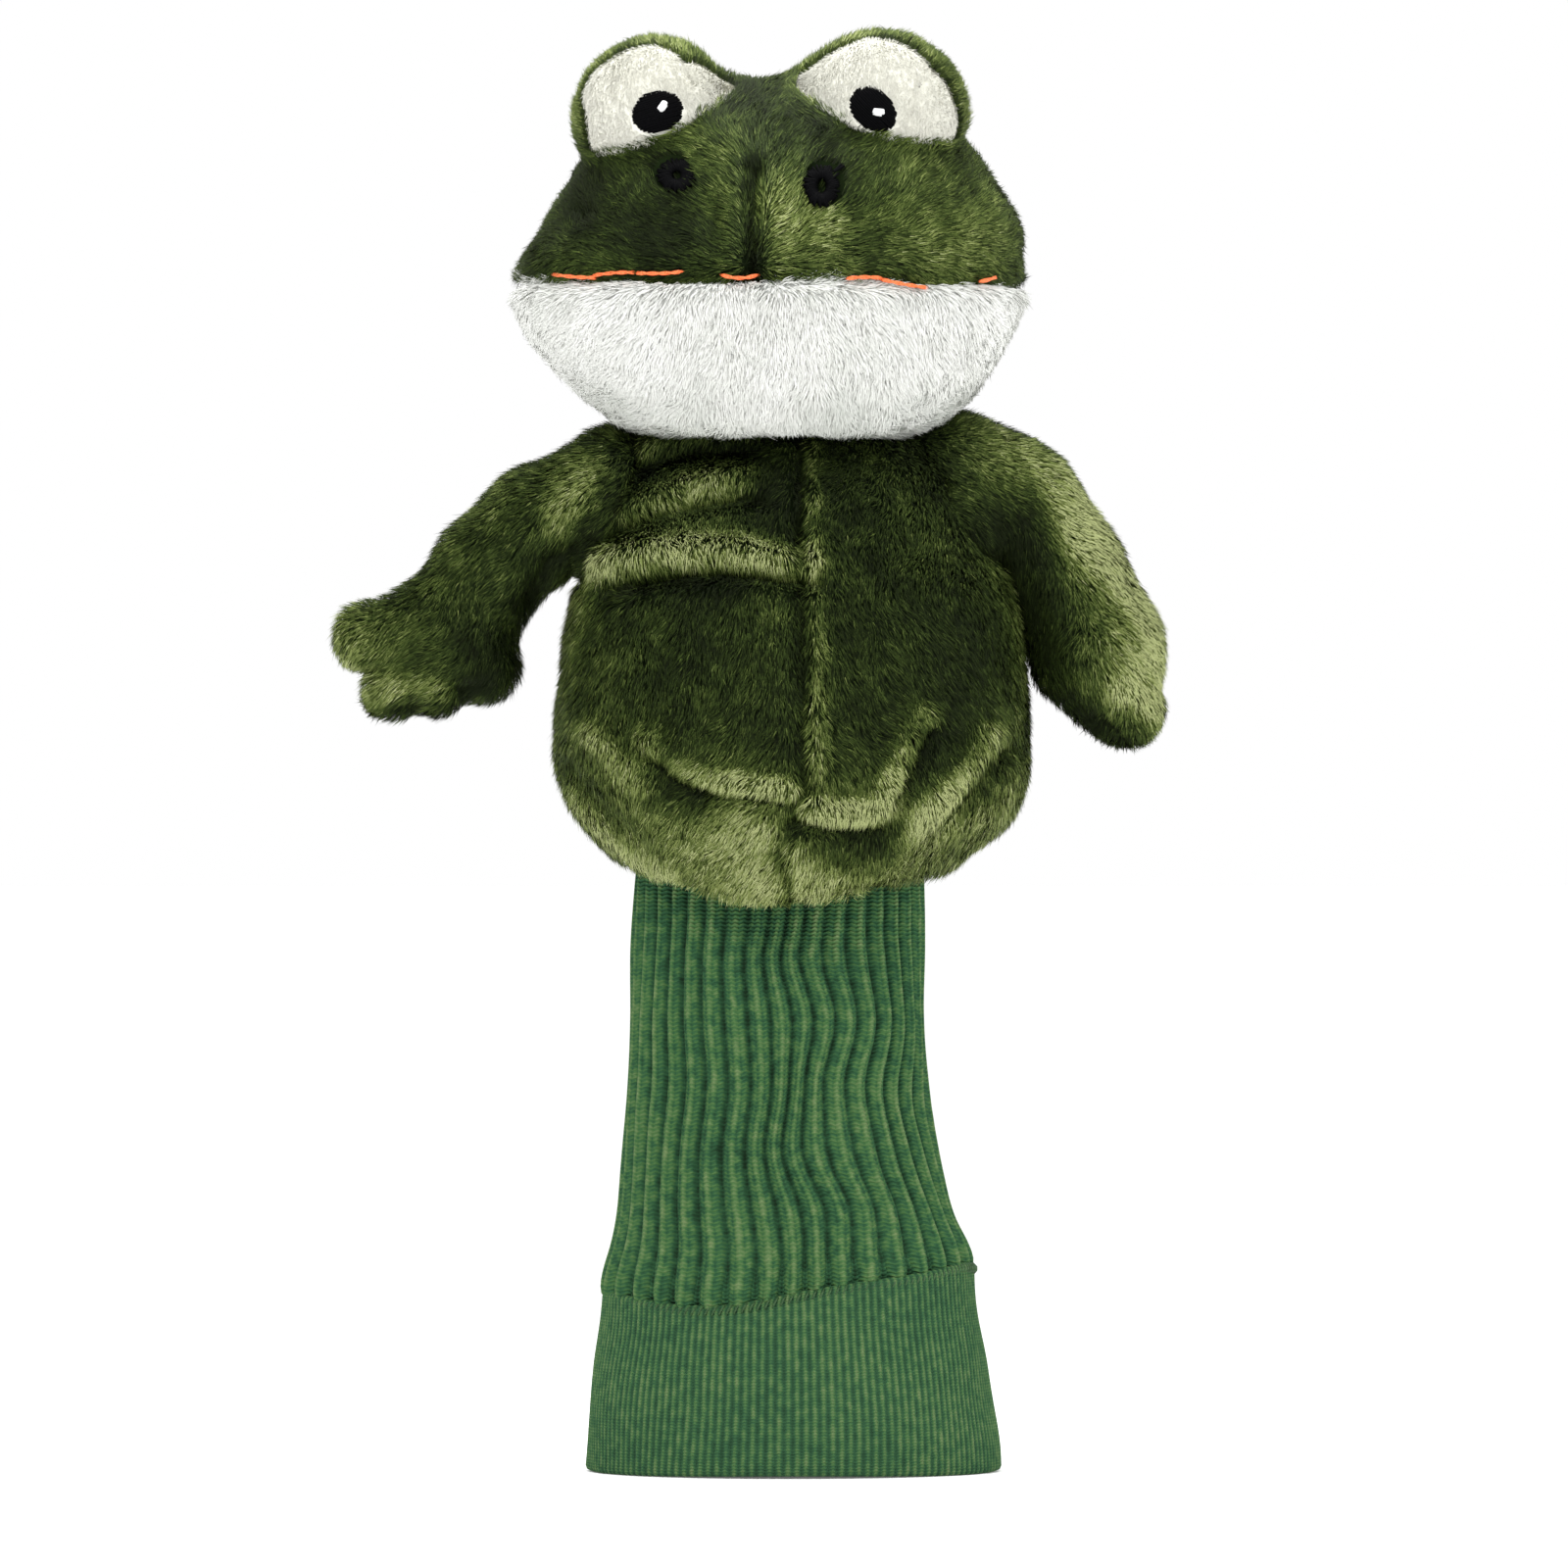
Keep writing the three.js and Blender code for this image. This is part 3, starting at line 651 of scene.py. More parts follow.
def fibre_materials(name, shafts, tips, sheen):
    """The slots of one kind of pile: its shafts and its tips, each from dark to light."""
    made = []
    for part, shades in (("shaft", shafts), ("tip", tips)):
        for i, shade in enumerate(shades):
            material = shader(f"{name}_{part}_{i}", linear(*shade), 0.6, sheen, specular=0.07)
            tint = material.node_tree.nodes["Principled BSDF"].inputs["Sheen Tint"]
            tint.default_value = linear(*tips[-1])
            made.append(material)
    return made, (len(shafts), len(tips))


class Nodes:
    """Short ways to add nodes to a material."""

    def __init__(self, material):
        self.tree = material.node_tree
        self.surface = self.tree.nodes["Principled BSDF"]
        self.where = self.add("ShaderNodeTexCoord").outputs["Object"]

    def add(self, kind, **inputs):
        node = self.tree.nodes.new(kind)
        for key, value in inputs.items():
            self.put(value, node.inputs[key.replace("_", " ")])
        return node

    def put(self, value, socket):
        if isinstance(value, bpy.types.NodeSocket):
            self.tree.links.new(value, socket)
        else:
            socket.default_value = value

    def maths(self, operation, *values):
        node = self.tree.nodes.new("ShaderNodeMath")
        node.operation = operation
        for value, socket in zip(values, node.inputs):
            self.put(value, socket)
        return node.outputs[0]

    def noise(self, scale, detail):
        node = self.add("ShaderNodeTexNoise", Vector=self.where, Scale=scale, Detail=detail)
        return node.outputs["Fac"]

    def ramp(self, value, *stops):
        """Colours by value, each stop a value and an everyday colour."""
        node = self.add("ShaderNodeValToRGB", Fac=value)
        elements = node.color_ramp.elements
        while len(elements) < len(stops):
            elements.new(0.5)
        for element, (place, colour) in zip(elements, stops):
            element.position = place
            element.color = linear(*colour)
        return node.outputs["Color"]

    def bump(self, height, strength, distance):
        node = self.add("ShaderNodeBump", Height=height, Strength=strength, Distance=distance * MM)
        self.put(node.outputs["Normal"], self.surface.inputs["Normal"])

    def colour(self, value):
        self.put(value, self.surface.inputs["Base Color"])


def cloth(name, dark, light, weave=1100):
    """A plain woven cloth with uneven dye."""
    material = shader(name, linear(*dark), 0.95, specular=0.05)
    nodes = Nodes(material)
    patches = nodes.noise(60, 4)
    nodes.colour(nodes.ramp(patches, (0.3, dark), (0.7, light)))
    nodes.bump(nodes.noise(weave, 1), strength=0.6, distance=0.25)
    return material


def felt():
    material = shader("cream_felt", linear(228, 227, 217), 0.95, sheen=0.1, specular=0.15)
    nodes = Nodes(material)
    fuzz = nodes.noise(900, 4)
    patches = nodes.noise(45, 3)
    mixed = nodes.maths("MULTIPLY_ADD", fuzz, 0.45, nodes.maths("MULTIPLY", patches, 0.55))
    nodes.colour(nodes.ramp(mixed, (0.3, (213, 212, 199)), (0.7, (226, 226, 216))))
    nodes.bump(fuzz, strength=0.5, distance=0.16)
    return material


def thread(name, dark, light, roughness=0.5, specular=0.25):
    """Embroidery thread: fine plies along a smooth, slightly shiny fibre."""
    material = shader(name, linear(*dark), roughness, specular=specular)
    nodes = Nodes(material)
    plies = nodes.noise(2600, 2)
    nodes.colour(nodes.ramp(plies, (0.35, dark), (0.7, light)))
    nodes.bump(plies, strength=0.4, distance=0.08)
    return material


def knit(name, groove, dark, middle, light, stitch_bump):
    """Knitted yarn. The mesh's attribute says which stitch a point is in and how deep between ribs; the
    depth paints shade into the grooves and a highlight on the rib tops.
    """
    material = shader(name, linear(*dark), 0.9, specular=0.1)
    nodes = Nodes(material)
    stitch = nodes.add("ShaderNodeAttribute")
    stitch.attribute_name = "stitch"
    wale, course, height = nodes.add("ShaderNodeSeparateXYZ", Vector=stitch.outputs["Vector"]).outputs
    across = nodes.maths("ABSOLUTE", nodes.maths("SUBTRACT", nodes.maths("FRACT", wale), 0.5))
    slanted = nodes.maths("MULTIPLY_ADD", across, 0.8, course)
    loops = nodes.maths("SINE", nodes.maths("MULTIPLY", slanted, 2 * math.pi))
    round_wale = nodes.maths("COSINE", nodes.maths("MULTIPLY", across, math.pi))
    yarn = nodes.maths("MULTIPLY_ADD", loops, 0.45, round_wale)
    heather = nodes.noise(420, 3)
    patches = nodes.noise(38, 3)
    tone = nodes.maths("MULTIPLY_ADD", heather, 0.8, nodes.maths("MULTIPLY", patches, 0.3))
    tone = nodes.maths("MULTIPLY_ADD", yarn, 0.14, tone)
    # Painted shade in the grooves and painted highlight on the rib tops, from the rib height.
    lit = nodes.maths("MULTIPLY_ADD", height, 0.3, nodes.maths("SUBTRACT", tone, 0.4))
    nodes.colour(nodes.ramp(lit, (0.05, groove), (0.36, dark), (0.52, middle), (0.8, light)))
    nodes.bump(yarn, strength=0.8, distance=stitch_bump)
    return material


# ---- pile ----
def grow_fur(name, skin, comb, tone, kind, *, body, length, per_mm2, rise, width, seed, keep, even=0.0):
    """Tapered fibres on a skin, as pieces of about the same size.

    Each fibre leaves the cloth at the angle `rise` (degrees) and bends over along the comb's direction.
    The tone, about 0 to 1, chooses how light a fibre is, painted highlight and shade included. Even, 0 to
    1, evens out how they catch the light.
    """
    tuft_size, lowest, steepest, root_depth = 4, 12, 85, 0.4
    shortest, longest = 0.4, 1.5
    taper = 0.85  # width at the bend as a share of the width at the root
    rng = np.random.default_rng(seed)
    root, normal = skin.scatter(per_mm2, rng)
    kept = keep(root, normal)
    root, normal = root[kept], normal[kept]
    count = len(root)
    lay = unit(comb(root, normal))
    lay = lay + 0.24 * drift(root, tuft_size, seed + 4) + 0.16 * rng.normal(size=(count, 3))
    lay = unit(lay - (lay * normal).sum(1, keepdims=True) * normal)
    tuft = waves(root, tuft_size, seed + 1)
    angle = np.clip(rise + 4 * tuft + 7 * rng.normal(size=count), lowest, steepest)
    lift = np.radians(angle)[:, None]
    stretch = np.clip(1 + 0.05 * tuft + 0.13 * rng.normal(size=count), shortest, longest)
    reach = (length * stretch)[:, None]
    first = np.sin(lift) * normal + np.cos(lift) * lay
    second = unit(first + 0.8 * lay)
    middle = root + first * reach * 0.52
    tip = middle + second * reach * 0.5
    twist = rng.normal(size=(count, 1)) * 0.6
    across = unit(np.cross(normal, lay) + twist * normal) * width / 2
    low = root - root_depth * normal
    narrower = taper * across
    points = np.stack([low - across, low + across, middle - narrower, middle + narrower, tip], 1)
    shade = tone(root, normal) + 0.06 * waves(root, 1.6, seed + 3) + 0.1 * rng.normal(size=count)
    materials, (shafts, tips) = kind
    shaft_slot = np.clip(shade * shafts, 0, shafts - 1).astype(int)
    tip_slot = shafts + np.clip((shade + 0.05 * rng.normal(size=count)) * tips, 0, tips - 1).astype(int)
    soft = unit((0.75 + even) * normal + 0.6 * (1 - even) * first)
    corners = points.shape[1]
    pieces = max(1, math.ceil(count / STRANDS_IN_A_PIECE))
    for piece, chosen in enumerate(np.array_split(np.arange(count), pieces)):
        start = np.arange(len(chosen))[:, None] * corners
        faces = [start + (1, 0, 2, 3), start + (3, 2, 4)]
        label = f"{name}_{piece + 1}" if pieces > 1 else name
        obj = new_object(label, points[chosen].reshape(-1, 3), faces, materials, body)
        slots = np.concatenate([shaft_slot[chosen], tip_slot[chosen]]).astype(np.int32)
        obj.data.polygons.foreach_set("material_index", slots)
        obj.data.normals_split_custom_set_from_vertices(np.repeat(soft[chosen], corners, axis=0))


def drift(p, scale, seed):
    """Three lots of noise, as a direction that wanders over the surface."""
    return np.stack([waves(p, scale, seed + i) for i in range(3)], axis=1)


# ---- the camera, the light and the floor ----
def set_stage():
    scene = bpy.context.scene
    width_seen = 368
    middle_x, middle_z = -1.8, 161
    distance = 3500
    sensor = 36
    camera = bpy.data.objects.new("camera", bpy.data.cameras.new("camera"))
    camera.data.sensor_width = sensor
    camera.data.lens = sensor * distance / width_seen
    camera.location = Vector((middle_x, -distance, middle_z)) * MM
    camera.rotation_euler = (math.radians(90), 0, 0)
    scene.collection.objects.link(camera)
    scene.camera = camera
    scene.view_settings.view_transform = "Standard"
    world = bpy.data.worlds.new("studio")
    scene.world = world
    world.use_nodes = True
    background = world.node_tree.nodes["Background"]
    background.inputs["Color"].default_value = (1, 1, 1, 1)
    background.inputs["Strength"].default_value = 1.0
    lit_place = Vector((0, 0, 200)) * MM
    for name, place, size, power in (
        ("key", (-400, -800, 1000), 600, 8),
        ("fill", (900, -500, 600), 700, 4),
        ("top", (0, 150, 1100), 600, 7),
    ):
        light = bpy.data.objects.new(name, bpy.data.lights.new(name, "AREA"))
        light.data.size = size * MM
        light.data.energy = power
        light.location = Vector(place) * MM
        aim = lit_place - light.location
        light.rotation_euler = aim.to_track_quat("-Z", "Y").to_euler()
        scene.collection.objects.link(light)
    reach, below_cuff = 20000, 0.2
    mesh = bpy.data.meshes.new("floor")
    corners = [(-reach, -reach), (reach, -reach), (reach, reach), (-reach, reach)]
    mesh.from_pydata([(x * MM, y * MM, 0) for x, y in corners], [], [(0, 1, 2, 3)])
    paper = shader("paper", (0.93, 0.93, 0.93, 1), 0.9)
    inputs = paper.node_tree.nodes["Principled BSDF"].inputs
    inputs["Emission Color"].default_value = (1, 1, 1, 1)
    inputs["Emission Strength"].default_value = 0.12
    mesh.materials.append(paper)
    floor = bpy.data.objects.new("floor", mesh)
    floor.location.z = -below_cuff * MM
    scene.collection.objects.link(floor)


# ---- knitted sleeve and cuff ----
def seam_height(angle):
    """Height of the wavy seam between the cuff and the sleeve. The angle runs from +X towards the back.

    The seam is highest at the right, and dips once more at the left of the front.
    """
    mean, tilt, ripple = 44.6, 3.6, 0.5
    dip_depth, dip_angle, dip_width = 3.2, 4.45, 0.55
    dip = dip_depth * bell(angle - dip_angle, dip_width)
    tilted = mean + tilt * np.cos(angle - 0.35)
    return tilted - ripple * np.sin(2 * angle + 0.6) - ripple * np.sin(5 * angle) - dip


def sway(angle, height):
    """How far the ribs lean aside, in radians. They wander most at the right of the front."""
    free = smooth(height, 44, 66) * (1 - smooth(height, 118, 134))
    wavy = 0.3 + 0.7 * smooth(np.cos(angle + 0.55), 0.2, 0.95)
    slow = 0.066 * np.sin(2 * math.pi * height / 47 + 1.2 * np.sin(2 * angle) + 0.8)
    quick = 0.016 * np.sin(2 * math.pi * height / 23 + 2 * angle)
    crowding = 0.045 * np.cos(3 * angle) + 0.014 * np.sin(7 * angle + 1)
    return free * wavy * (slow + quick) + crowding


def knit_tube(
    name, rows, low, high, *,
    ribs, across_rib, steps, profile, wales, relief, thickness, courses, leans, material,
):
    """A tube of rib knit: a closed mesh with an outside, an inside and rounded ends.

    low and high give the heights of its ends at each angle. profile gives the relief of a rib, 0 to 1,
    and wales how many columns of stitches it has. courses is the height of a stitch. Where the ribs lean,
    they also stand out more, and the tube puffs out, just above its lower end.
    """
    columns = ribs * across_rib
    angle = 2 * math.pi * np.arange(columns) / columns
    height_of_rib = profile(np.arange(columns) / across_rib % 1)
    turn = np.linspace(0, math.pi, 5)[1:-1]
    t = np.linspace(1, 0, steps)
    share = np.concatenate([t, 0 * turn, t[::-1], 0 * turn + 1])
    proud = np.concatenate([0 * t + 1, (1 + np.cos(turn)) / 2, 0 * t, (1 - np.cos(turn)) / 2])
    beyond = np.concatenate([0 * t, -np.sin(turn), 0 * t, np.sin(turn)])
    height = low(angle)[None] * (1 - share[:, None]) + high(angle)[None] * share[:, None]
    height = height + beyond[:, None] * thickness / 2
    place = angle[None] + (sway(angle[None], height) if leans else 0 * height)
    middle_x, middle_y, half_x, half_y = section(height, rows)
    past_the_puff = 99
    above = np.clip(height - low(angle)[None], 0, None) if leans else 0 * height + past_the_puff
    deeper = 1 + 0.55 * bell(above - 3, 6)
    puff = 1.1 * above / 5 * np.exp(1 - above / 5) - 0.7 * np.exp(-above / 1.1)
    out = relief * deeper * (height_of_rib[None] - 1) * (0.35 + 0.65 * proud[:, None])
    out = out + puff - thickness * (1 - proud[:, None])
    slope = unit(np.stack([np.cos(place) / half_x, np.sin(place) / half_y], axis=-1))
    ripple = 0.5 * waves(placed(30 * np.cos(place), 30 * np.sin(place), height), 16, ribs)
    x = middle_x + half_x * np.cos(place) + (out + ripple) * slope[..., 0]
    y = middle_y + half_y * np.sin(place) + (out + ripple) * slope[..., 1]
    count = len(share)
    row, column = np.meshgrid(np.arange(count), np.arange(columns), indexing="ij")
    after_row, after_column = (row + 1) % count, (column + 1) % columns
    first, second = row * columns, after_row * columns
    quads = quads_of(first + column, second + column, second + after_column, first + after_column)
    obj = new_object(name, placed(x, y, height).reshape(-1, 3), quads, [material], None)
    whole = np.ones_like(height)
    # The third value, the rib's height, sets the painted groove shade and rib-top highlight.
    stitch = placed(column / across_rib * wales, height / courses, height_of_rib[None] * whole)
    attribute = obj.data.attributes.new("stitch", "FLOAT_VECTOR", "POINT")
    attribute.data.foreach_set("vector", stitch.astype(np.float32).ravel())
    return obj


def wide_rib(s):
    """A rounded rib of three wales, with a soft groove on each side."""
    return np.sin(math.pi * s) ** 1.25 - 0.05 * (1 - np.abs(np.sin(3 * math.pi * s)))


def fine_rib(s):
    return 0.5 - 0.5 * np.cos(2 * math.pi * s)


def level(height):
    """The end of a tube that is at the same height all round."""
    return lambda angle: 0 * angle + height


def make_sleeve(yarn, cuff_yarn, seam_thread):
    sleeve = knit_tube(
        "knit_sleeve", SLEEVE, lambda angle: seam_height(angle) - 0.9, level(150.5),
        ribs=38, across_rib=12, steps=72, profile=wide_rib, wales=3,
        relief=2.0, thickness=1.5, courses=0.95, leans=True, material=yarn,
    )
    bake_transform(sleeve)
    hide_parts("rib_sleeve")
    cuff = knit_tube(
        "knit_cuff", CUFF, lambda angle: 1.2 + 0.25 * np.sin(3 * angle), seam_height,
        ribs=144, across_rib=5, steps=30, profile=fine_rib, wales=1,
        relief=0.32, thickness=2.2, courses=0.72, leans=False, material=cuff_yarn,
    )
    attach(cuff, "sleeve")
    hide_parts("cuff")
    make_cuff_seam(seam_thread)
    band = knit_tube(
        "waist_gather", SLEEVE, level(137), level(148),
        ribs=38, across_rib=6, steps=10, profile=fine_rib, wales=1,
        relief=0.5, thickness=1.4, courses=0.95, leans=False, material=yarn,
    )
    narrower = 0.93
    shift = WAIST[0] * MM * (1 - narrower)
    band.data.transform(((narrower, 0, 0, shift), (0, narrower, 0, 0), (0, 0, 1, 0), (0, 0, 0, 1)))
    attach(band, "waist")
    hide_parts("waist_band")


def make_cuff_seam(material):
    """Slanted stitches along the seam, half sunk in the knit. Each is set out by four of its points."""
    count = 150
    angle = 2 * math.pi * np.arange(count) / count
    paths = []
    slant = 0.8 * 2 * math.pi / count
    for share, rise, lift in ((0, -1.5, -0.5), (0.3, -0.8, 0.12), (0.6, 0.0, 0.14), (1, 0.8, -0.6)):
        turned = angle + share * slant
        height = seam_height(turned) + rise
        middle_x, middle_y, half_x, half_y = section(height, CUFF)
        x = middle_x + (half_x + lift) * np.cos(turned)
        y = middle_y + (half_y + lift) * np.sin(turned)
        paths.append(placed(x, y, height))
    piece = tubes("cuff_seam_stitches", np.stack(paths, axis=1), 0.24, material, "sleeve", sides=5)
    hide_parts("cuff_seam")


# ---- body, neck and arms ----
def downwards(root, normal):
    """The comb of the body: down, wandering a little."""
    return np.array((0, 0, -1)) + 0.35 * drift(root, 22, 5)


def body_tone_and_painted_light(p, normal):
    """Random tone, with painted shade in the middle of the belly and under the low fold, and painted
    highlight at the sides, on the folds, low down and on the back.
    """
    x, _, z = p.T
    front = smooth(-normal[:, 1], -0.1, 0.5)
    tone = mottled(p, 0.3, (0.09, 15, 61), (0.05, 5, 62)) + painted_fold_light(p, normal, BODY_FOLDS)
    # Painted shade in the middle of the belly.
    painted_shade_on_belly = spot(p, (0, 190), (34, 22))
    tone = tone - 0.1 * painted_shade_on_belly * front
    # Painted highlight low down, as sheen on pile that faces down.
    tone = tone + 0.48 * (1 - smooth(z, 144, 174)) * (0.4 + 0.6 * front)
    # Painted shade under the low fold of the belly.
    painted_shade_under_fold = spot(p, (13, 147), (13, 6)) * front
    # Painted highlight at the sides and on the back.
    return tone - 0.4 * painted_shade_under_fold + 0.2 * smooth(np.abs(x), 38, 56) + 0.1 * smooth(normal[:, 1], -0.1, 0.5)


def make_torso(green, under):
    skin = surface_of(torso_skin, (-60, -52, 128), (60, 48, 250), cell=1.25)
    outside = torso_outline(skin.points) + PILE > OUTER_SIDE
    lumps = mottled(skin.points, 0, (0.5, 17, 41), (0.25, 7, 42))
    seam_behind = -1.6 * bell(skin.points[:, 0] - 2, 1.2) * smooth(skin.normals[:, 1], 0.1, 0.5)
    skin.push(np.where(outside, pressed(skin.points, skin.normals, BODY_FOLDS) + lumps + seam_behind, 0))
    piece = new_object("body_skin", skin.points, skin.triangles, [under], "torso")
    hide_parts(*[node for node in frame["nodes"] if node.startswith("body_")])

    def keep(p, n):
        roots = np.minimum(*[ball(p, middle, SHOULDER_HOLLOW) for middle in SHOULDERS.values()])
        return (torso_outline(p) > -PILE - 4) & (loft_open(p, CHAMBER) > 2.2) & (roots > 1.5)

    grow_fur(
        "body_fur", skin, downwards, body_tone_and_painted_light, green,
        body="torso", length=3.7, per_mm2=6.4, rise=38, width=0.26, seed=11, keep=keep,
    )


def make_neck(green, under):
    inner, outer = NECK_CLOTH
    drop, half_height, reach = 1.5, 7, 26

    def band(p):
        shell = np.maximum(ball(p, NECK, outer), -ball(p, NECK, inner))
        return np.maximum(shell, np.abs(p[..., 2] - NECK[2] + drop) - half_height)

    skin = surface_of(band, NECK - reach, NECK + reach, cell=0.8)
    piece = new_object("neck_cloth", skin.points, skin.triangles, [under], "neck")
    grow_fur(
        "neck_fur", skin, downwards, body_tone_and_painted_light, green,
        body="neck", length=3.8, per_mm2=4.6, rise=40, width=0.28, seed=15,
        keep=lambda p, n: ball(p, NECK, (inner + outer) / 2) > 0,
    )
    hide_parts("neck_collar")


def arm_tone_and_painted_light(side):
    def tone(p, normal):
        x, _, z = p.T
        made = mottled(p, 0.3, (0.09, 12, 63), (0.05, 4, 64)) + painted_fold_light(p, normal, ARM_FOLDS[side])
        # Painted highlight on the outer side of the right arm and painted shade where it meets the body; on
        # the left arm, painted highlight along its top edge and towards the hand.
        if side == "right":
            return made + 0.32 * smooth(x, 56, 84) - 0.08 * smooth(-x, -66, -54)
        return made + 0.12 * smooth(z - 0.9 * x, 262, 285) + 0.1 * smooth(-x, 82, 98)
    return tone


def make_arm(side, green, under):
    ends = np.array([piece[:2] for piece in ARMS[side]]).reshape(-1, 3)
    room = 20
    skin = surface_of(lambda p: arm_skin(p, side), ends.min(0) - room, ends.max(0) + room, cell=1.1)
    lumps = mottled(skin.points, 0, (0.45, 13, 43), (0.2, 6, 44))
    skin.push(pressed(skin.points, skin.normals, ARM_FOLDS[side]) + lumps)
    body = f"arm_{side}"
    piece = new_object(f"{body}_skin", skin.points, skin.triangles, [under], body)
    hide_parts(*[f"{body}_{part}" for part in ("front", "back", "stuffing")])
    outwards = np.array((-0.7 if side == "left" else 0.45, 0, -0.65))
    grow_fur(
        f"{body}_fur", skin, lambda p, n: outwards + 0.3 * drift(p, 18, 8), arm_tone_and_painted_light(side), green,
        body=body, length=3.6, per_mm2=6.4, rise=38, width=0.26, seed=31 + len(side),
        keep=lambda p, n: torso_outline(p) > -PILE - 10,
    )


def make_gusset(side, under):
    """The ring of cloth round the root of an arm, inside the body bag, that turns with the shoulder."""
    gap, thickness, shallowest, deepest = 0.15, 0.65, 1.5, 10
    room = 18

    def ring(p):
        root = ball(p, SHOULDERS[side], SHOULDER_BALL)
        layer = np.maximum(root - gap - thickness, gap - root)
        deep = torso_outline(p) + PILE
        return np.maximum(layer, np.maximum(deep + shallowest, -deepest - deep))

    skin = surface_of(ring, SHOULDERS[side] - room, SHOULDERS[side] + room, cell=0.6)
    piece = new_object(f"shoulder_gusset_{side}", skin.points, skin.triangles, [under], f"shoulder_{side}")
    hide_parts(f"shoulder_seam_{side}")


# ---- head ----
def on_chin(p):
    """True on the white chin and false on the green."""
    edge = MOUTH + 0.5 * waves(p * (1, 0, 0), 9, 71) + 0.6 * smooth(-p[:, 0], 44, 58)
    return (p[:, 2] < edge) & (p[:, 1] < FACE_BACK)


def head_tone_and_painted_light(p, normal):
    front = smooth(-normal[:, 1], -0.1, 0.4)
    tone = mottled(p, 0.38, (0.1, 13, 65), (0.06, 5, 66)) + painted_fold_light(p, normal, HEAD_FOLDS)
    # Painted highlight on the snout and the right of the face, painted shade on the left.
    for painted_light, middle, size in (
        (0.1, (2, 289), (17, 9)),
        (0.16, (30, 288), (20, 10)),
        (-0.24, (-44, 292), (18, 15)),
    ):
        tone = tone + painted_light * front * spot(p, middle, size)
    # Painted highlight over the upper eye mounds and their rims.
    rims = np.maximum(*[-ellipsoid(p, eye["middle"], eye["radii"] + 1) for eye in EYES.values()])
    return tone + 0.2 * smooth(p[:, 2], 304, 318) * smooth(rims, -1, 3)


def white_tone_and_painted_shade(p, normal):
    """White pile and felt nap, with painted shade under the chin."""
    shaded = 1 - smooth(p[:, 2], 243, 262)
    return mottled(p, 0.68, (0.1, 12, 67), (0.08, 4, 68)) - 0.36 * shaded


def make_head(green, white, under, under_white, patches):
    skin = surface_of(head_skin, (-72, -60, 236), (62, 46, 344), cell=1.25)
    _, y, z = skin.points.T
    outside = head_outline(skin.points) + PILE > OUTER_SIDE
    mouth = -2.6 * bell(z - MOUTH, 1.3) * (y < FACE_BACK + 2)
    lumps = mottled(skin.points, 0, (0.35, 15, 45), (0.15, 7, 46))
    skin.push(np.where(outside, mouth + lumps + pressed(skin.points, skin.normals, HEAD_FOLDS), 0))
    piece = new_object("head_skin", skin.points, skin.triangles, [under, under_white], "head")
    middles = skin.points[skin.triangles].mean(1)
    piece.data.polygons.foreach_set("material_index", on_chin(middles).astype(np.int32))
    hidden = ["head_front_left", "head_front_right", "head_back", "chin", "head_stuffing", "head_seam"]
    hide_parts(*hidden, *[f"eye_{part}_{side}" for part in ("mound", "stuffing") for side in EYES])

    def covered(p):
        """Where felt or a nostril leaves no room for pile."""
        x, y, z = p.T
        ahead = y < -12
        hit = np.zeros(len(p), bool)
        for curve in patches.values():
            hit |= ahead & (outline_distance(x, z, curve) < -0.3)
        for middle, radii, hole in NOSTRILS.values():
            dx, dz = x - middle[0], z - middle[1]
            ring = np.hypot(dx / (radii[0] + 1), dz / (radii[1] + 1))
            core = np.hypot(dx / hole[0], dz / hole[1])
            hit |= ahead & (ring < 1) & (core > 0.8)
        return hit

    def outer_side(p):
        clear = (ball(p, NECK, HEAD_NECK_HOLLOW) > 1) & (loft(p, FINGER_POCKET) > 1)
        return (head_outline(p) > -PILE - 4.5) & clear

    def fan(p, normal):
        """Away from the seam of the head, and round the eye mounds away from their middles."""
        aside = np.tanh((p[:, 0] - HEAD_SEAM) / 5)
        away = np.stack([aside, 0.3 + 0 * aside, np.clip((p[:, 2] - 284) / 16, -0.35, 0.9)], axis=1)
        for eye in EYES.values():
            from_eye = p - (eye["middle"] + np.array((0, -14, 0)))
            near = 1 - smooth(np.linalg.norm(from_eye[:, [0, 2]], axis=1), 18, 25)
            up = smooth(p[:, 2], 306, 316)
            away = away + 1.6 * (near * up)[:, None] * unit(from_eye)
        return away + 0.25 * drift(p, 16, 9)

    def under_chin(p, normal):
        near_mouth = smooth(p[:, 2], MOUTH - 5, MOUTH)
        aside = np.stack([p[:, 0] / 60, 0 * p[:, 0], near_mouth * 0.9 - 1], axis=1)
        return aside + 0.22 * drift(p, 14, 10)

    grow_fur(
        "head_fur", skin, fan, head_tone_and_painted_light, green,
        body="head", length=3.5, per_mm2=6.8, rise=38, width=0.25, seed=21,
        keep=lambda p, n: ~on_chin(p) & outer_side(p) & ~covered(p),
    )
    grow_fur(
        "chin_fur", skin, under_chin, white_tone_and_painted_shade, white,
        body="head", length=3.5, per_mm2=7.8, rise=29, width=0.34, seed=22, even=0.8,
        keep=lambda p, n: on_chin(p) & outer_side(p),
    )


def felt_surface(x, z):
    """The y of the front of the felt."""
    return front_of(head_outline, x, z, FELT_SUNK)


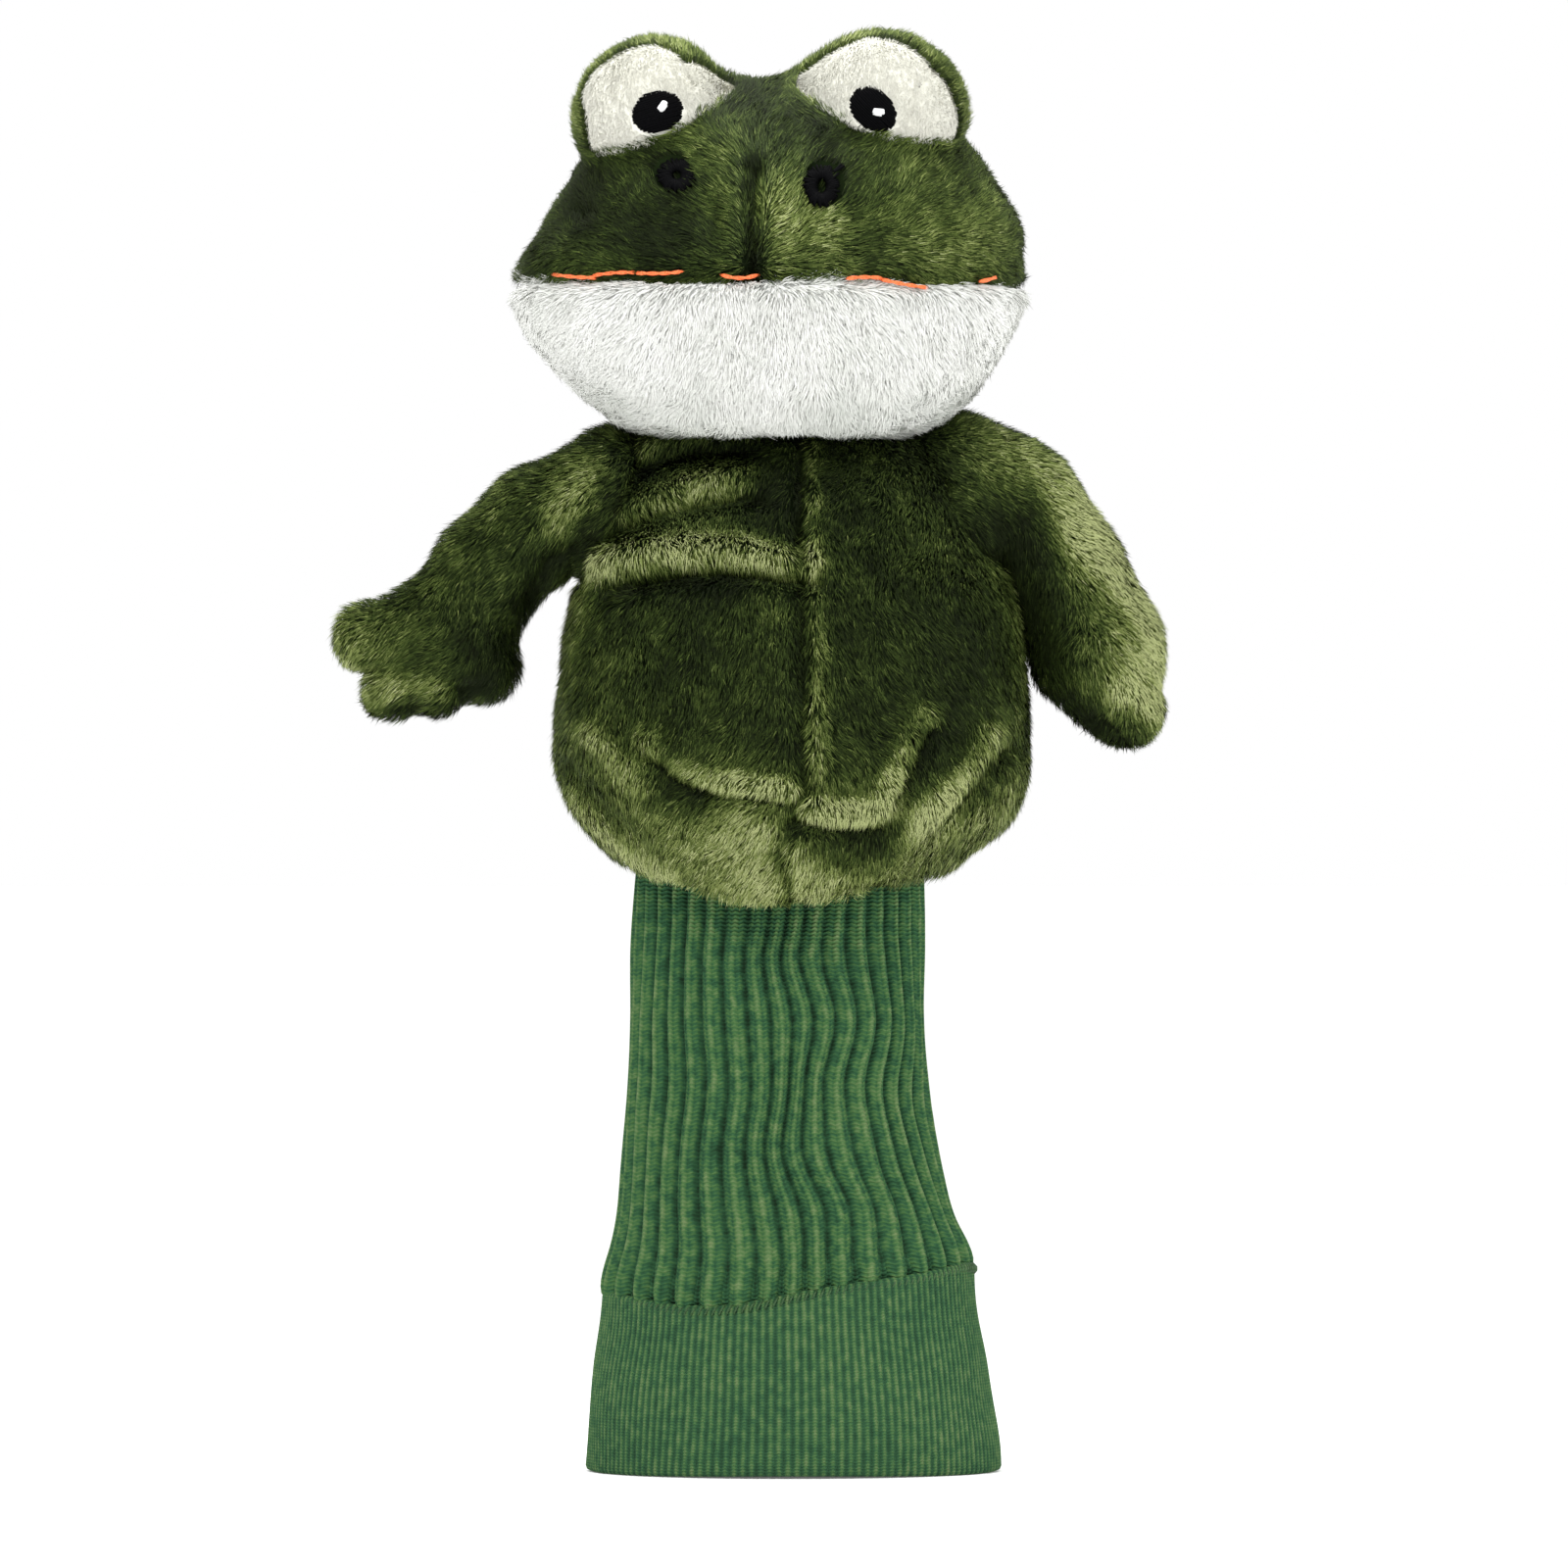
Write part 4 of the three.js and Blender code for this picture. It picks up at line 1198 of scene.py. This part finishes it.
def make_eye(side, curve, cream, fuzz, black, bright):
    low, high = curve.min(0) - 2, curve.max(0) + 2

    round_edge, hindmost = 0.7, -10

    def patch(p):
        """The layer of felt, with a rounded edge."""
        shell = head_outline(p) + FELT_SUNK
        layer = np.abs(shell + FELT_THICK / 2) - FELT_THICK / 2
        across = outline_distance(p[..., 0], p[..., 2], curve)
        near_layer, near_curve = np.maximum(layer + round_edge, 0), np.maximum(across + round_edge, 0)
        edge = np.hypot(near_layer, near_curve) - round_edge
        return np.maximum(np.maximum(edge, np.maximum(layer, across)), p[..., 1] - hindmost)

    felt_piece = surface_of(patch, (low[0], -42, low[1]), (high[0], hindmost + 2, high[1]), 0.55)
    fold = -0.5 * bell(stroke_distance(felt_piece.points, FELT_CREASES[side]), 1.4)
    felt_piece.push(fold + 0.12 * waves(felt_piece.points, 6, 47))
    piece = new_object(f"eye_felt_{side}", felt_piece.points, felt_piece.triangles, [cream], "head")
    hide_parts(f"eye_white_{side}")
    pupil_middle, pupil_size, tilt = PUPILS[side]

    def round_pupil(p, n):
        dx, dz = p[:, 0] - pupil_middle[0], p[:, 2] - pupil_middle[1]
        long = (dx * math.cos(tilt) + dz * math.sin(tilt)) / (pupil_size[0] + 0.3)
        short = (dz * math.cos(tilt) - dx * math.sin(tilt)) / (pupil_size[1] + 0.3)
        return (n[:, 1] < -0.15) & (np.hypot(long, short) > 1)

    grow_fur(
        f"eye_felt_fuzz_{side}", felt_piece,
        lambda p, n: np.array((0, 0, -1)) + 0.5 * drift(p, 7, 12), white_tone_and_painted_shade, fuzz,
        body="head", length=1.3, per_mm2=9, rise=35, width=0.16, seed=51, keep=round_pupil,
    )
    pupil = satin(
        f"eye_pupil_{side}", pupil_middle, pupil_size, tilt, radius=0.36, lift=0.9, material=black
    )
    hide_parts(f"pupil_{side}")
    glint = satin(
        f"eye_glint_embroidered_{side}", GLINTS[side], GLINT_SIZE, tilt + 0.7,
        radius=0.2, lift=1.75, material=bright,
    )
    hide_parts(f"eye_glint_{side}")


def between(start, end, share):
    """The x and z of places along a straight line between two places seen from the front."""
    return (start[i] + (end[i] - start[i]) * share for i in (0, 1))


def satin(name, middle, size, tilt, radius, lift, material):
    """An oval of satin stitch: threads side by side over a low dome, sunk in at their ends."""
    spacing = radius * 1.35
    rows = np.arange(-size[1] + radius, size[1] - radius / 2, spacing)
    share = np.linspace(-1, 1, 11)
    rng = np.random.default_rng(int(1000 + 10 * middle[0]))
    paths = []
    for row in rows:
        half = size[0] * math.sqrt(max(0.02, 1 - (row / size[1]) ** 2)) + 0.12 * rng.normal()
        across = share * half
        offset = row + 0.08 * rng.normal() * share
        x = middle[0] + across * math.cos(tilt) - offset * math.sin(tilt)
        z = middle[1] + across * math.sin(tilt) + offset * math.cos(tilt)
        at_end = share ** 8
        dome = lift * (1 - 0.45 * (row / size[1]) ** 2) * (1 - at_end) - 0.35 * at_end
        paths.append(placed(x, felt_surface(x, z) - dome + 0.1, z))
    return tubes(name, paths, radius, material, "head")


def make_nostril(side, black):
    """A ring of satin stitches that run from its hole to its rim, with two loose ends."""
    middle, size, hole = NOSTRILS[side]
    count = 54
    rng = np.random.default_rng(81 + count)
    share = np.linspace(0, 1, 9)
    paths = []
    for i in range(count):
        angle = 2 * math.pi * i / count
        jitter = 1 + 0.07 * rng.normal()
        reach_x, reach_z = between(hole, (size[0] * jitter, size[1] * jitter), share)
        x = middle[0] + reach_x * np.cos(angle + 0.1 * share)
        z = middle[1] + reach_z * np.sin(angle + 0.1 * share)
        arch = 1.5 * np.sqrt(np.clip(1 - (2 * share - 1) ** 2, 0, 1))
        paths.append(placed(x, front_of(head_outline, x, z, 1.2) - arch, z))
    ends = []
    for lean in (0.7, 0.95):
        x = middle[0] + size[0] * 0.7 + share * 2.6 * lean
        z = middle[1] + size[1] * 0.7 + share * 2.4 / (0.6 + lean)
        ends.append(placed(x, front_of(head_outline, x, z, 0.9) - 0.6 * (1 - share), z))
    piece = tubes(f"nostril_ring_{side}", paths + ends, 0.34, black, "head")
    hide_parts(f"nostril_{side}")


def make_mouth(orange):
    """Long hand stitches of two-ply thread that lie at the top of the pile."""
    share = np.linspace(0, 1, 15)
    paths = []
    for start, end, sag in MOUTH_STITCHES:
        for ply in (0, math.pi):
            x, z = between(start, end, share)
            twist = 1.1 * (x - start[0]) + ply
            z = z - sag * 4 * share * (1 - share)
            z = z + 0.2 * np.sin(twist)
            y = front_of(head_outline, x, z, 0.8) + 0.2 * np.cos(twist)
            sunk = 2.5 * (np.abs(2 * share - 1) ** 9)
            paths.append(placed(x, y + sunk, z))
    piece = tubes("mouth_stitches", paths, 0.3, orange, "head")
    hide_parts(*[node for node in frame["nodes"] if node.startswith("mouth_stitch_")])


def make_finger_threads(side, green_thread):
    """The thread pulled tight over each dimple of a hand."""
    share = np.linspace(0, 1, 9)
    paths = []
    for start, end in FINGER_THREADS[side]:
        x, z = between(start, end, share)
        y = front_of(lambda p: arm_outline(p, side), x, z, PILE + 1.6) - 0.7 * np.sin(math.pi * share)
        paths.append(placed(x, y, z))
    piece = tubes(f"finger_threads_{side}", paths, 0.4, green_thread, f"arm_{side}")
    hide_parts(*[f"finger_stitch_{side}_{i + 1}" for i in range(len(paths))])


# ---- what shows inside ----
def finish_inner_nodes(lining):
    for name in ("hand_lining", "finger_stall"):
        mesh = frame["nodes"][name].data
        mesh.materials.clear()
        mesh.materials.append(lining)


set_stage()
green_fibres = fibre_materials("green_pile", GREEN_SHAFTS, GREEN_TIPS, 0.03)
white_fibres = fibre_materials("white_pile", WHITE_SHAFTS, WHITE_TIPS, 0.0)
cream_fibres = fibre_materials("felt_nap", CREAM_SHAFTS, CREAM_TIPS, 0.0)
# The green backing is a real cloth, dyed darker than the pile so that the gaps between fibres show it as
# painted shade.
backing_dark_as_shade = cloth("green_backing", (12, 20, 6), (22, 32, 11))
white_cloth = cloth("white_backing", (236, 238, 236), (246, 247, 245))
black_thread = thread("black_embroidery", (2, 2, 3), (8, 8, 10), 0.7, 0.03)
patch_curves = {side: closed_curve(corners) for side, corners in EYE_PATCHES.items()}
# The first colour of each knit below is the painted shade in its grooves.
make_sleeve(
    knit("sleeve_knit", (24, 46, 28), (44, 82, 54), (66, 102, 58), (104, 124, 82), 0.5),
    knit("cuff_knit", (36, 66, 44), (48, 84, 56), (66, 101, 59), (98, 118, 78), 0.35),
    thread("seam_thread", (38, 64, 35), (60, 90, 54)),
)
make_torso(green_fibres, backing_dark_as_shade)
make_neck(green_fibres, backing_dark_as_shade)
make_head(green_fibres, white_fibres, backing_dark_as_shade, white_cloth, patch_curves)
for arm_side in SHOULDERS:
    make_arm(arm_side, green_fibres, backing_dark_as_shade)
    make_gusset(arm_side, backing_dark_as_shade)
for eye_side in EYES:
    make_eye(
        eye_side, patch_curves[eye_side], felt(), cream_fibres, black_thread,
        thread("white_embroidery", (232, 234, 232), (250, 250, 250)),
    )
    make_nostril(eye_side, black_thread)
make_mouth(thread("orange_embroidery", (222, 92, 44), (252, 132, 80)))
hand_thread = thread("green_thread", (20, 30, 12), (44, 60, 26))
for hand_side in FINGER_THREADS:
    make_finger_threads(hand_side, hand_thread)
finish_inner_nodes(cloth("lining_cloth", (58, 78, 44), (84, 104, 62), 700))
